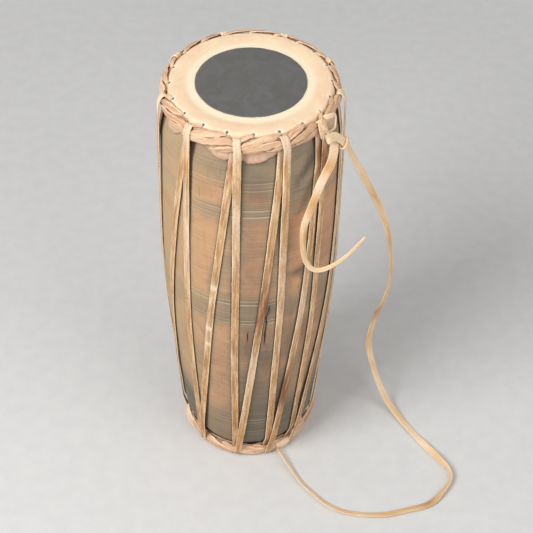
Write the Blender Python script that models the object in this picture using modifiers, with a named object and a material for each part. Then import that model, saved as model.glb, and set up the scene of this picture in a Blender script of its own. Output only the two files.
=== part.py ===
"""Madal: a hand-laced barrel drum with a skin head at each end.

The drum stands on its smaller head. Heights are measured from that head's flat
skin, angles from the front (-Y) towards +X, and all sizes are in metres.
"""
import math

import bmesh
import bpy
import numpy as np
from mathutils import Matrix, Vector

# Clearance between pieces that touch
GAP = 0.0003

# Wooden shell
SHELL_LENGTH = 0.4658
BELLY_HEIGHT = 0.278
BELLY_RADIUS = 0.0857
BELLY_BORE = 0.0745
BEARING_ROUND = 0.002
BORE_FLARE = 1.5

# Upper end of the shell: bearing edge, sloping seat for the skins, then the neck
UPPER_END_RADIUS = 0.0718
UPPER_SEAT_SLOPE = 0.30
UPPER_SEAT_DEPTH = 0.017
UPPER_NECK_RADIUS = 0.0820
UPPER_NECK_DEPTH = 0.040
UPPER_NECK_SLOPE = 0.045
UPPER_BORE = 0.0635

# Lower end of the shell
LOWER_END_RADIUS = 0.0558
LOWER_SEAT_SLOPE = 0.34
LOWER_SEAT_DEPTH = 0.014
LOWER_NECK_RADIUS = 0.0702
LOWER_NECK_DEPTH = 0.038
LOWER_NECK_SLOPE = 0.075
LOWER_BORE = 0.0490

# Heads
MEMBRANE_THICKNESS = 0.0006
MEMBRANE_LAP = 0.006
COLLAR_THICKNESS = 0.0009
COLLAR_LAP = 0.017
HEM_BAND = 0.006
UPPER_OPENING_RADIUS = 0.0556
LOWER_OPENING_RADIUS = 0.0420
UPPER_PASTE_RADIUS = 0.0500
LOWER_PASTE_RADIUS = 0.0370
PASTE_THICKNESS = 0.0008
PASTE_EDGE = 0.0005
HOLE_RADIUS = 0.0015
HOLE_OUT_FROM_EDGE = -0.0002

# Skin flaps that hang below the ropes: centre angle, half width in degrees, drop
UPPER_FLAPS = (
    (6.5, 12.0, 0.0115),
    (-17.0, 8.0, 0.0070),
    (-58.0, 8.0, 0.0055),
    (62.0, 10.0, 0.0050),
    (101.0, 10.0, 0.0080),
    (180.0, 11.0, 0.0090),
    (221.0, 9.0, 0.0060),
)
LOWER_FLAPS = (
    (6.0, 9.0, 0.0040),
    (-66.0, 11.0, 0.0050),
    (95.0, 11.0, 0.0045),
    (174.0, 12.0, 0.0050),
)

# Rope rings: two flat strands twisted together, each passing every stitch hole once
ROPE_TURNS = 10
ROPE_FIRST_HOLE = 3.0
UPPER_STRAND_THICKNESS = 0.0020
UPPER_STRAND_WIDTH = 0.0059
UPPER_ROPE_ALONG = 0.0098
LOWER_STRAND_THICKNESS = 0.0018
LOWER_STRAND_WIDTH = 0.0044
LOWER_ROPE_ALONG = 0.0084
STRAND_CLEARANCE = 0.0004

# Rawhide lace: where each loop crosses the upper rope and where it turns at the lower rope
LACE_WIDTH = 0.0080
LACE_THICKNESS = 0.0014
LOOP_ANGLES = (-76.0, -40.5, -7.5, 22.0, 46.5, 83.0, 118.0, 158.5, 200.0, 240.0)
TURN_ANGLES = (-87.0, -46.5, -9.5, 19.5, 43.5, 77.5, 113.0, 153.0, 195.0, 233.0)
LEG_SIDESTEP = 1.0
BIGHT_RELIEF = 0.0004
WRAP_CLEARANCE = 0.0005
HANGER_CLEARANCE = 0.0018
CHORD_ALLOWANCE = 0.0002
LACE_END_GAP = 0.0010

# Carrying strap
STRAP_WIDTH = 0.0078
STRAP_THICKNESS = 0.0014
HANGER_ANGLE = 52.6
HANGER_WIDTH = 0.0030
HANGER_THICKNESS = 0.0012
KNOT_WIDTH = 0.0090
KNOT_THICKNESS = 0.0030
KEEPER_SHARE = 0.80
KEEPER_WIDTH = 0.0030
KEEPER_THICKNESS = 0.0012
TIE_ANGLE = 33.0
TIE_WIDTH = 0.0080

# Knot of the strap: sideways from the hanger, out from the rope, down from the rope's middle
KNOT_ROUTE = (
    (-0.0030, 0.0052, 0.0082),
    (0.0010, 0.0057, 0.0084),
    (0.0052, 0.0070, 0.0102),
    (0.0098, 0.0090, 0.0150),
    (0.0140, 0.0112, 0.0212),
    (0.0172, 0.0128, 0.0272),
)
KNOT_FACES_OUT = 0.80
KNOT_FACES_UP = 0.60
TAIL_SHARE = 0.50

# Bare tail of the strap: sideways from the hanger, out from the rope, down from the rope's middle
TAIL_ROUTE = (
    (0.0072, 0.0052, 0.0190),
    (0.0052, 0.0070, 0.0270),
    (-0.0020, 0.0086, 0.0345),
    (-0.0160, 0.0088, 0.0470),
    (-0.0262, 0.0078, 0.0690),
    (-0.0342, 0.0068, 0.0880),
    (-0.0366, 0.0078, 0.1080),
    (-0.0362, 0.0110, 0.1280),
    (-0.0325, 0.0172, 0.1390),
    (-0.0244, 0.0238, 0.1415),
    (-0.0135, 0.0310, 0.1370),
    (-0.0015, 0.0370, 0.1290),
    (0.0173, 0.0400, 0.1210),
)

# Hanging stretch of the strap: x, y and share of the drop from the knot to the floor
HANGING_ROUTE = (
    (0.1020, -0.0330, 0.922),
    (0.1180, -0.0170, 0.816),
    (0.1290, -0.0090, 0.741),
    (0.1370, -0.0020, 0.661),
    (0.1425, 0.0055, 0.572),
    (0.1450, 0.0120, 0.483),
    (0.1430, 0.0160, 0.402),
    (0.1360, 0.0190, 0.336),
    (0.1310, 0.0200, 0.232),
    (0.1390, 0.0190, 0.138),
    (0.1500, 0.0140, 0.063),
    (0.1630, 0.0030, 0.016),
)

# Stretch of the strap on the floor: x, y and how far it stands up on its edge in degrees
FLOOR_ROUTE = (
    (0.1815, -0.0265, 4.0),
    (0.1985, -0.0505, 6.0),
    (0.2110, -0.0670, 18.0),
    (0.2190, -0.0805, 34.0),
    (0.2205, -0.0930, 48.0),
    (0.2130, -0.1095, 58.0),
    (0.1985, -0.1260, 64.0),
    (0.1750, -0.1360, 66.0),
    (0.1500, -0.1425, 66.0),
    (0.1260, -0.1430, 66.0),
    (0.1040, -0.1385, 66.0),
    (0.0860, -0.1300, 66.0),
    (0.0725, -0.1180, 66.0),
    (0.0605, -0.1025, 66.0),
    (0.0520, -0.0890, 66.0),
)
STRAP_LIFT_TO_TIE = 0.0028
STRAP_START_GAP = 0.0008
HANGING_ACROSS = (0.1, 1.0, 0.0)
STRAP_END_WIDTH = 0.0052
STRAP_TAPER_FROM = 0.62
TAIL_END_WIDTH = 0.0045
FLOOR_CLEARANCE = 0.0006

# Surfaces: name, colour and roughness
SHELL_WOOD = ("shell_wood", (0.33, 0.25, 0.15), 0.65)
HEAD_SKIN = ("head_skin", (0.80, 0.62, 0.42), 0.55)
COLLAR_SKIN = ("collar_skin", (0.75, 0.52, 0.34), 0.60)
TUNING_PASTE = ("tuning_paste", (0.06, 0.06, 0.06), 0.80)
ROPE_HIDE = ("rope_hide", (0.62, 0.40, 0.24), 0.60)
LACE_HIDE = ("lace_hide", (0.66, 0.43, 0.22), 0.55)
STRAP_HIDE = ("strap_hide", (0.78, 0.60, 0.38), 0.55)

# Fineness of the meshes
AROUND = 40
ROPE_STEPS = 70
STRAND_SIDES = 6
HOLE_SIDES = 4
BARREL_RINGS = 5
SHOULDER_RINGS = 4
BORE_RINGS = 4
EDGE_STEPS = 2
CORNER_SIDES = 8
LACE_FINE_STEP = 0.0028
LEG_LONGEST_STEP = 0.056
BIGHT_STEPS = 8
HANGER_STEPS = 24
TIE_STEPS = 18
ROUTE_STEPS = 2

# Stack of skins on the shell, and the middle of a lace lying on that stack
MEMBRANE_OUT = GAP
COLLAR_OUT = MEMBRANE_OUT + MEMBRANE_THICKNESS + GAP
HEAD_STACK = COLLAR_OUT + COLLAR_THICKNESS
LACE_OUT = HEAD_STACK + GAP + LACE_THICKNESS / 2
SHELL_BOTTOM = HEAD_STACK
SHELL_TOP = SHELL_BOTTOM + SHELL_LENGTH
BELLY_Z = SHELL_BOTTOM + BELLY_HEIGHT


def hermite(x, x0, y0, slope0, x1, y1, slope1):
    """Cubic through two points with the slope given at each."""
    span = x1 - x0
    t = (x - x0) / span
    from_start = (2 * t**3 - 3 * t**2 + 1) * y0 + (t**3 - 2 * t**2 + t) * span * slope0
    from_end = (3 * t**2 - 2 * t**3) * y1 + (t**3 - t**2) * span * slope1
    return from_start + from_end


class DrumEnd:
    """One end of the drum: the shell's edge, and the skins and rope that are fitted to it."""

    def __init__(self, name, up, face_z, end_radius, seat_slope, seat_depth, neck, bore,
                 opening_radius, paste_radius, flaps, strand_size, rope_along):
        self.name = name
        self.up = up
        self.face_z = face_z
        self.end_radius = end_radius
        self.seat_slope = seat_slope
        self.seat_depth = seat_depth
        self.neck_radius, self.neck_depth, self.neck_slope = neck
        self.bore = bore
        self.opening_radius = opening_radius
        self.paste_radius = paste_radius
        self.flaps = flaps
        self.lean = math.atan(seat_slope)
        rise = math.sin(self.lean)
        self.round_radius = end_radius - BEARING_ROUND * (1 - rise) / math.cos(self.lean)
        self.belly_depth = abs(face_z - BELLY_Z)
        self.strand_half = (strand_size[0] / 2, strand_size[1] / 2)
        self.orbit = (strand_size[0] / 2 + STRAND_CLEARANCE / 2, strand_size[1] / 2 + STRAND_CLEARANCE)
        self.rope_half = (self.strand_half[0] + self.orbit[0], self.strand_half[1] + self.orbit[1])
        self.rope_along = rope_along
        self.rope_out = LACE_OUT + self.wrap_half(LACE_THICKNESS)[0]

    def side(self, out, along):
        """Radius and height of a point this far out from the seat and along it from the face."""
        radius = self.end_radius + along * math.sin(self.lean) + out * math.cos(self.lean)
        height = self.face_z + self.up * (out * math.sin(self.lean) - along * math.cos(self.lean))
        return radius, height

    def wrap_half(self, thickness):
        """Half sizes, out and along, of the oval that a band this thick follows round the rope."""
        around = WRAP_CLEARANCE + thickness / 2
        return self.rope_half[0] + around, self.rope_half[1] + around + BIGHT_RELIEF

    def wrap(self, thickness, turn):
        """Point of that oval: 0 is straight out, a quarter turn is towards the drum's end."""
        half_out, half_along = self.wrap_half(thickness)
        out = self.rope_out + half_out * math.cos(turn)
        return self.side(out, self.rope_along - half_along * math.sin(turn))

    def widest_turn(self, thickness):
        """Turn at which that oval is farthest from the drum's axis."""
        half_out, half_along = self.wrap_half(thickness)
        return -math.atan(self.seat_slope * half_along / half_out)

    def skin(self, out, inner_radius, lap):
        """Profile of a skin this far off the shell: flat face, bearing edge, then down the seat."""
        flat_z = self.face_z + self.up * out
        points = [(inner_radius, flat_z)]
        for share in np.linspace(0, 1, EDGE_STEPS + 1):
            angle = math.pi / 2 + (self.lean - math.pi / 2) * share
            radius = self.round_radius + (BEARING_ROUND + out) * math.cos(angle)
            lift = (BEARING_ROUND + out) * math.sin(angle) - BEARING_ROUND
            points.append((radius, self.face_z + self.up * lift))
        points.append(self.side(out, lap))
        return points

    def off_shell(self, out, depth):
        """Point this far off the shell's side at this depth below the face."""
        radius = self.shell_radius(depth) + out / math.cos(self.lean)
        return radius, self.face_z - self.up * depth

    def shell_radius(self, depth):
        """Outside radius of the shell at this depth below the end's face."""
        seat_radius = self.end_radius + self.seat_depth * self.seat_slope
        if depth <= self.seat_depth:
            return self.end_radius + depth * self.seat_slope
        if depth <= self.neck_depth:
            return hermite(depth, self.seat_depth, seat_radius, self.seat_slope,
                           self.neck_depth, self.neck_radius, self.neck_slope)
        return hermite(depth, self.neck_depth, self.neck_radius, self.neck_slope,
                       self.belly_depth, BELLY_RADIUS, 0.0)

    def bore_radius(self, depth):
        """Inside radius of the shell at this depth below the end's face."""
        slope = BORE_FLARE * (BELLY_BORE - self.bore) / self.belly_depth
        return hermite(depth, 0.0, self.bore, slope, self.belly_depth, BELLY_BORE, 0.0)


UPPER = DrumEnd("upper", 1, SHELL_TOP, UPPER_END_RADIUS, UPPER_SEAT_SLOPE, UPPER_SEAT_DEPTH,
                (UPPER_NECK_RADIUS, UPPER_NECK_DEPTH, UPPER_NECK_SLOPE), UPPER_BORE,
                UPPER_OPENING_RADIUS, UPPER_PASTE_RADIUS, UPPER_FLAPS,
                (UPPER_STRAND_THICKNESS, UPPER_STRAND_WIDTH), UPPER_ROPE_ALONG)
LOWER = DrumEnd("lower", -1, SHELL_BOTTOM, LOWER_END_RADIUS, LOWER_SEAT_SLOPE, LOWER_SEAT_DEPTH,
                (LOWER_NECK_RADIUS, LOWER_NECK_DEPTH, LOWER_NECK_SLOPE), LOWER_BORE,
                LOWER_OPENING_RADIUS, LOWER_PASTE_RADIUS, LOWER_FLAPS,
                (LOWER_STRAND_THICKNESS, LOWER_STRAND_WIDTH), LOWER_ROPE_ALONG)


def nearer_end(z):
    """End of the drum that shapes the shell at this height."""
    return UPPER if z > BELLY_Z else LOWER


def outward(angle):
    """Unit vector away from the axis at this angle from the front."""
    return Vector((math.sin(angle), -math.cos(angle), 0.0))


def sideways(angle):
    """Unit vector round the drum, towards larger angles."""
    return Vector((math.cos(angle), math.sin(angle), 0.0))


def around_axis(angle, radius, height):
    """Point at this angle, radius and height."""
    return outward(angle) * radius + Vector((0.0, 0.0, height))


def clear_scene():
    """Start from an empty scene with one collection for the parts and one for the cutters."""
    for old in list(bpy.data.objects):
        bpy.data.objects.remove(old, do_unlink=True)
    for name in ("madal", "cutters"):
        collection = bpy.data.collections.new(name)
        bpy.context.scene.collection.children.link(collection)


def make_material(name, colour, roughness):
    """Plain non-metallic surface of one colour."""
    material = bpy.data.materials.new(name)
    material.use_nodes = True
    shader = material.node_tree.nodes["Principled BSDF"]
    shader.inputs["Base Color"].default_value = (*colour, 1.0)
    shader.inputs["Roughness"].default_value = roughness
    shader.inputs["Metallic"].default_value = 0.0
    return material


def add_part(name, mesh, material):
    """New object for one sub-part, shaded smooth, in the drum's collection."""
    part = bpy.data.objects.new(name, mesh)
    bpy.data.collections["madal"].objects.link(part)
    part.data.materials.append(material)
    part.data.shade_smooth()
    return part


def mesh_of(name, points, faces):
    """Mesh from points and faces."""
    mesh = bpy.data.meshes.new(name)
    mesh.from_pydata([tuple(point) for point in points], [], faces)
    mesh.update()
    return mesh


def turned(name, profile, material, closed):
    """Profile of (radius, height) points turned about the drum's axis."""
    mesh = bpy.data.meshes.new(name)
    count = len(profile)
    edges = [(i, (i + 1) % count) for i in range(count if closed else count - 1)]
    mesh.from_pydata([(radius, 0.0, height) for radius, height in profile], edges, [])
    part = add_part(name, mesh, material)
    screw = part.modifiers.new("Turn", "SCREW")
    screw.steps = AROUND
    screw.render_steps = AROUND
    screw.use_merge_vertices = True
    screw.merge_threshold = 0.00001
    return part


def solidify(part, thickness, offset):
    """Give an open surface its thickness."""
    shell = part.modifiers.new("Thickness", "SOLIDIFY")
    shell.thickness = thickness
    shell.offset = offset
    shell.use_even_offset = True
    shell.use_quality_normals = True


def tangents(path, closed):
    """Unit direction of travel at each point of a path."""
    count = len(path)
    result = []
    for i in range(count):
        before = path[i - 1] if closed or i > 0 else path[i]
        after = path[(i + 1) % count] if closed or i < count - 1 else path[i]
        result.append((after - before).normalized())
    return result


def ribbon(name, path, across, widths, thickness, material, closed=False):
    """Flat band along a path; across gives the direction of its width at each point."""
    points = []
    for centre, along, wide, width in zip(path, tangents(path, closed), across, widths):
        edge = (wide - along * wide.dot(along)).normalized() * width / 2
        points += [centre - edge, centre + edge]
    count = len(path)
    faces = []
    for i in range(count if closed else count - 1):
        j = (i + 1) % count
        faces.append((2 * i, 2 * i + 1, 2 * j + 1, 2 * j))
    part = add_part(name, mesh_of(name, points, faces), material)
    solidify(part, thickness, 0.0)
    return part


def smooth_route(points, steps):
    """Smooth curve through a route's points, with this many steps from each to the next."""
    padded = [points[0] * 2 - points[1], *points, points[-1] * 2 - points[-2]]
    route = []
    for p0, p1, p2, p3 in zip(padded, padded[1:], padded[2:], padded[3:]):
        for step in range(steps):
            t = step / steps
            bend = p0 * 2 - p1 * 5 + p2 * 4 - p3
            twist = p1 * 3 - p0 - p2 * 3 + p3
            route.append((p1 * 2 + (p2 - p0) * t + bend * t**2 + twist * t**3) / 2)
    return route + [points[-1]]


def outer_hull(points):
    """Taut line over the outside of (height, radius) supports."""
    hull = []
    for z, radius in sorted(points):
        while len(hull) > 1:
            (z0, r0), (z1, r1) = hull[-2:]
            if (r1 - r0) * (z - z0) > (radius - r0) * (z1 - z0):
                break
            hull.pop()
        hull.append((z, radius))
    heights, radii = zip(*hull)
    return lambda z: float(np.interp(z, heights, radii))


def closed_hull(points):
    """Taut loop round (radius, height) points."""
    def chain(ordered):
        line = []
        for point in ordered:
            while len(line) > 1:
                (x0, y0), (x1, y1) = line[-2:]
                if (x1 - x0) * (point[1] - y0) > (y1 - y0) * (point[0] - x0):
                    break
                line.pop()
            line.append(point)
        return line[:-1]
    ordered = sorted(points)
    return chain(ordered) + chain(ordered[::-1])


def make_shell(material):
    """Hollow barrel turned from one log."""
    outside = []
    from_top = np.linspace(0, 1, BARREL_RINGS)
    for end, shares in ((UPPER, from_top), (LOWER, from_top[-2::-1])):
        barrel = []
        for share in shares:
            depth = end.neck_depth + share * (end.belly_depth - end.neck_depth)
            barrel.append((end.shell_radius(depth), end.face_z - end.up * depth))
        shoulder = []
        for depth in np.linspace(end.seat_depth, end.neck_depth, SHOULDER_RINGS)[:-1]:
            shoulder.append((end.shell_radius(depth), end.face_z - end.up * depth))
        edge = end.skin(0.0, end.bore, 0.0)[:-1]
        if end is UPPER:
            outside += edge + shoulder + barrel
        else:
            outside += barrel + shoulder[::-1] + edge[::-1]
    bore = []
    inward = np.linspace(0, 1, BORE_RINGS)
    for end, shares in ((LOWER, inward[1:]), (UPPER, inward[-2:0:-1])):
        for share in shares:
            depth = share * end.belly_depth
            bore.append((end.bore_radius(depth), end.face_z - end.up * depth))
    return turned("shell", outside + bore, material, closed=True)


def make_membrane(end, material):
    """Playing skin, drawn over the bearing edge."""
    outer = end.skin(MEMBRANE_OUT + MEMBRANE_THICKNESS, 0.0, MEMBRANE_LAP)
    inner = end.skin(MEMBRANE_OUT, 0.0, MEMBRANE_LAP)
    profile = outer + inner[::-1]
    if end is LOWER:
        profile.reverse()
    return turned(end.name + "_membrane", profile, material, closed=False)


def flap_drop(end, angle):
    """How far the collar's hem hangs below its even edge at this angle."""
    drop = 0.0
    for centre, half_width, depth in end.flaps:
        away = abs((math.degrees(angle) - centre + 180) % 360 - 180)
        if away < half_width:
            drop = max(drop, depth * math.cos(away / half_width * math.pi / 2) ** 2)
    return drop


def hole_angles():
    """Angles of the stitch holes round a collar."""
    count = 2 * ROPE_TURNS
    return [math.radians(ROPE_FIRST_HOLE + 360 * i / count) for i in range(count)]


def make_hole_cutter(end):
    """Pins that punch a collar's stitch holes, square to the flat skin."""
    shape = bmesh.new()
    radius = end.end_radius + HOLE_OUT_FROM_EDGE
    through_skins = 3 * HEAD_STACK
    for angle in hole_angles():
        place = around_axis(angle, radius, end.face_z + end.up * HEAD_STACK)
        facing = Matrix.Translation(place) @ Matrix.Rotation(angle, 4, "Z")
        bmesh.ops.create_cone(shape, cap_ends=True, segments=HOLE_SIDES, radius1=HOLE_RADIUS,
                              radius2=HOLE_RADIUS, depth=through_skins, matrix=facing)
    mesh = bpy.data.meshes.new(end.name + "_hole_pins")
    shape.to_mesh(mesh)
    shape.free()
    cutter = bpy.data.objects.new(end.name + "_hole_pins", mesh)
    bpy.data.collections["cutters"].objects.link(cutter)
    cutter.hide_render = True
    cutter.display_type = "WIRE"
    return cutter


def make_collar(end, material):
    """Outer ring of skin with a ragged hem, punched for the rope's stitches."""
    points = []
    for i in range(AROUND):
        angle = 2 * math.pi * i / AROUND
        hem_depth = COLLAR_LAP * math.cos(end.lean) + flap_drop(end, angle)
        profile = end.skin(COLLAR_OUT, end.opening_radius, COLLAR_LAP - HEM_BAND)
        profile.append(end.off_shell(COLLAR_OUT, hem_depth))
        points += [around_axis(angle, radius, z) for radius, z in profile]
    rings = len(profile)
    faces = []
    for i in range(AROUND):
        here = i * rings
        there = (i + 1) % AROUND * rings
        for j in range(rings - 1):
            face = (here + j, here + j + 1, there + j + 1, there + j)
            faces.append(face if end is UPPER else face[::-1])
    name = end.name + "_collar"
    part = add_part(name, mesh_of(name, points, faces), material)
    solidify(part, COLLAR_THICKNESS, 1.0)
    holes = part.modifiers.new("Stitch holes", "BOOLEAN")
    holes.operation = "DIFFERENCE"
    holes.object = make_hole_cutter(end)
    return part


def make_paste(end, material):
    """Disc of black tuning paste in the collar's opening, with a bevelled edge."""
    bed = end.face_z + end.up * COLLAR_OUT
    face = bed + end.up * PASTE_THICKNESS
    shoulder = face - end.up * PASTE_EDGE
    profile = [(0.0, face), (end.paste_radius - PASTE_EDGE, face), (end.paste_radius, shoulder),
               (end.paste_radius, bed), (0.0, bed)]
    if end is LOWER:
        profile.reverse()
    return turned(end.name + "_paste", profile, material, closed=False)


def make_strand(end, name, phase, material):
    """One flat strand of a rope ring, winding round the other one."""
    points = []
    for i in range(ROPE_STEPS):
        angle = 2 * math.pi * i / ROPE_STEPS
        from_hole = angle - math.radians(ROPE_FIRST_HOLE)
        turn = math.pi / 2 + ROPE_TURNS * from_hole + phase
        out = end.rope_out + end.orbit[0] * math.cos(turn)
        along = end.rope_along - end.orbit[1] * math.sin(turn)
        for j in range(STRAND_SIDES):
            corner = 2 * math.pi * j / STRAND_SIDES
            section = end.side(out + end.strand_half[0] * math.sin(corner),
                               along + end.strand_half[1] * math.cos(corner))
            points.append(around_axis(angle, *section))
    faces = []
    for i in range(ROPE_STEPS):
        here = i * STRAND_SIDES
        there = (i + 1) % ROPE_STEPS * STRAND_SIDES
        for j in range(STRAND_SIDES):
            k = (j + 1) % STRAND_SIDES
            face = (here + j, here + k, there + k, there + j)
            faces.append(face[::-1] if end is UPPER else face)
    return add_part(name, mesh_of(name, points, faces), material)


def lace_bed(z):
    """Radius of the middle of a lace that lies on the skins or on the shell."""
    end = nearer_end(z)
    depth = abs(end.face_z - z)
    if depth < COLLAR_LAP * math.cos(end.lean):
        return end.end_radius + depth * end.seat_slope + LACE_OUT / math.cos(end.lean)
    return end.off_shell(GAP + CHORD_ALLOWANCE + LACE_THICKNESS / 2, depth)[0]


def lace_heights(low, high):
    """Closely spaced heights along a lace, with the lower edges of both collars among them."""
    low, high = sorted((low, high))
    even = np.linspace(low, high, math.ceil((high - low) / LACE_FINE_STEP) + 1)
    edges = [end.face_z - end.up * (COLLAR_LAP * math.cos(end.lean) - GAP) for end in (UPPER, LOWER)]
    return np.sort(np.append(even, [z for z in edges if low < z < high]))


def turning_up_drum():
    """Heights up the drum, and how far a taut lace has turned about the axis by each of them.

    A taut line on a round body turns at a rate that goes with one over its radius squared.
    """
    heights = lace_heights(SHELL_BOTTOM, SHELL_TOP)
    rates = np.array([lace_bed(z) ** -2 for z in heights])
    steps = np.diff(heights) * (rates[1:] + rates[:-1])
    return heights, np.concatenate(([0.0], np.cumsum(steps)))


def leg_angle(z, leg, turning):
    """Angle of a taut leg at a height; a leg is the (height, angle) of its foot and of its head."""
    (foot_z, foot_angle), (head_z, head_angle) = leg
    here, foot, head = np.interp((z, foot_z, head_z), *turning)
    return foot_angle + (head_angle - foot_angle) * (here - foot) / (head - foot)


def leg_heights(radius, low, high):
    """Heights of a leg's points, so that straight steps between them keep to its curve."""
    heights = lace_heights(low, high)
    radii = np.array([radius(z) for z in heights])
    kept = [0]
    while kept[-1] < len(heights) - 1:
        first = kept[-1]
        last = len(heights) - 1
        while last > first + 1:
            span = slice(first, last + 1)
            straight = np.interp(heights[span], heights[[first, last]], radii[[first, last]])
            close = np.abs(straight - radii[span]).max() < CHORD_ALLOWANCE / 2
            if close and heights[last] - heights[first] < LEG_LONGEST_STEP:
                break
            last -= 1
        kept.append(last)
    return heights[kept]


def bight(end, from_angle, to_angle):
    """Points of a lace that passes round a rope from its outside to its inside."""
    start = end.widest_turn(LACE_THICKNESS)
    points = []
    for i in range(BIGHT_STEPS + 1):
        share = i / BIGHT_STEPS
        place = end.wrap(LACE_THICKNESS, start + (math.pi - start) * share)
        points.append(around_axis(from_angle + (to_angle - from_angle) * share, *place))
    return points


def make_lace_loop(index, material):
    """Lace from the lower rope's inside, over the upper rope and back to the lower rope's outside.

    The front leg lies over the back leg below the upper rope. At the lower rope the back leg lies
    over the front leg of the loop before, turns under the rope and meets that leg's end behind it.
    """
    step = math.radians(LEG_SIDESTEP)
    loop_angle = math.radians(LOOP_ANGLES[index])
    turn_angle = math.radians(TURN_ANGLES[index])
    last_turn = math.radians(TURN_ANGLES[index - 1] - (360 if index == 0 else 0))
    last_loop = math.radians(LOOP_ANGLES[index - 1] - (360 if index == 0 else 0))
    low_in = LOWER.wrap(LACE_THICKNESS, math.pi)[1]
    high_in = UPPER.wrap(LACE_THICKNESS, math.pi)[1]
    low_out = LOWER.wrap(LACE_THICKNESS, LOWER.widest_turn(LACE_THICKNESS))
    high_out = UPPER.wrap(LACE_THICKNESS, UPPER.widest_turn(LACE_THICKNESS))
    front = ((low_in, turn_angle - step), (high_out[1], loop_angle + step))
    back = ((low_out[1], last_turn + step), (high_in, loop_angle - step))
    last_front = ((low_in, last_turn - step), (high_out[1], last_loop + step))

    turning = turning_up_drum()
    inside = outer_hull([(z, lace_bed(z)) for z in lace_heights(low_in, high_in)])
    lift = LACE_THICKNESS + GAP + CHORD_ALLOWANCE
    front_supports = [(high_out[1], high_out[0])]
    back_supports = [(low_out[1], low_out[0])]
    for z in lace_heights(low_out[1], high_out[1])[1:-1]:
        reach = (LACE_WIDTH + GAP) / inside(z)
        front_angle, back_angle, last_angle = [leg_angle(z, leg, turning)
                                               for leg in (front, back, last_front)]
        over_back = z > BELLY_Z and abs(front_angle - back_angle) < reach
        over_front = z < BELLY_Z and abs(back_angle - last_angle) < reach
        front_supports.append((z, inside(z) + lift * over_back))
        back_supports.append((z, inside(z) + lift * over_front))
    front_supports += [(z, inside(z)) for z in lace_heights(low_in, low_out[1])]
    back_supports += [(z, inside(z)) for z in lace_heights(high_out[1], high_in)]

    path = []
    radius = outer_hull(front_supports)
    for z in leg_heights(radius, low_in + LACE_END_GAP, high_out[1])[:-1]:
        path.append(around_axis(leg_angle(z, front, turning), radius(z), z))
    path += bight(UPPER, front[1][1], back[1][1])
    radius = outer_hull(back_supports)
    for z in leg_heights(radius, low_out[1], high_in)[-2:0:-1]:
        path.append(around_axis(leg_angle(z, back, turning), radius(z), z))
    path += bight(LOWER, back[0][1], last_front[0][1])
    across = [sideways(math.atan2(point.x, -point.y)) for point in path]
    return ribbon(f"lace_loop_{index + 1:02d}", path, across, [LACE_WIDTH] * len(path),
                  LACE_THICKNESS, material)


def round_section(centre, facing, half_thickness, half_width, clearance):
    """Points of a loop round a flat band's section; facing is the band's normal in that plane."""
    along = (-facing[1], facing[0])
    points = []
    for side_n, side_w in ((1, 1), (1, -1), (-1, -1), (-1, 1)):
        corner = [centre[axis] + side_n * half_thickness * facing[axis]
                  + side_w * half_width * along[axis] for axis in (0, 1)]
        for i in range(CORNER_SIDES):
            angle = 2 * math.pi * i / CORNER_SIDES
            points.append((corner[0] + clearance * math.cos(angle),
                           corner[1] + clearance * math.sin(angle)))
    return closed_hull(points)


def near_hanger(side, out, down):
    """Point given from the hanger: sideways, out from the rope and down from its middle."""
    angle = math.radians(HANGER_ANGLE)
    rope_radius = UPPER.side(UPPER.rope_out + UPPER.rope_half[0], UPPER.rope_along)[0]
    rope_z = UPPER.side(UPPER.rope_out, UPPER.rope_along)[1]
    place = outward(angle) * (rope_radius + out) + sideways(angle) * side
    return place + Vector((0.0, 0.0, rope_z - down))


def knot_facing():
    """Direction that the knot's flat side faces."""
    return outward(math.radians(HANGER_ANGLE)) * KNOT_FACES_OUT + Vector((0.0, 0.0, KNOT_FACES_UP))


def knot_path():
    """Middle line of the strap's knot, and the direction of its width at each point."""
    path = smooth_route([near_hanger(*point) for point in KNOT_ROUTE], ROUTE_STEPS)
    across = [knot_facing().cross(along).normalized() for along in tangents(path, False)]
    return path, across


def make_knot(material):
    """Doubled bight of the strap where it hangs from the rope."""
    path, across = knot_path()
    return ribbon("strap_knot", path, across, [KNOT_WIDTH] * len(path), KNOT_THICKNESS, material)


def make_hanger(material):
    """Thin thong tied round the upper rope and the strap's knot."""
    angle = math.radians(HANGER_ANGLE)
    around = []
    for i in range(HANGER_STEPS):
        around.append(UPPER.wrap(HANGER_THICKNESS, 2 * math.pi * i / HANGER_STEPS))
    nearest = min(knot_path()[0], key=lambda point: abs(point.dot(sideways(angle))))
    centre = (nearest.dot(outward(angle)), nearest.z)
    around += round_section(centre, (KNOT_FACES_OUT, KNOT_FACES_UP), KNOT_THICKNESS / 2,
                            KNOT_WIDTH / 2, HANGER_CLEARANCE)
    loop = [around_axis(angle, *point) for point in closed_hull(around)]
    return ribbon("strap_hanger", loop, [sideways(angle)] * len(loop),
                  [HANGER_WIDTH] * len(loop), HANGER_THICKNESS, material, closed=True)


def make_keeper(material):
    """Short loop of thong that holds the knot's two layers together."""
    path, across = knot_path()
    index = round(KEEPER_SHARE * (len(path) - 1))
    along = tangents(path, False)[index]
    wide = (across[index] - along * across[index].dot(along)).normalized()
    facing = wide.cross(along)
    clearance = GAP + KEEPER_THICKNESS / 2 + CHORD_ALLOWANCE
    section = round_section((0.0, 0.0), (1.0, 0.0), KNOT_THICKNESS / 2, KNOT_WIDTH / 2, clearance)
    loop = [path[index] + facing * out + wide * side for out, side in section]
    return ribbon("strap_keeper", loop, [along] * len(loop), [KEEPER_WIDTH] * len(loop),
                  KEEPER_THICKNESS, material, closed=True)


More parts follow.
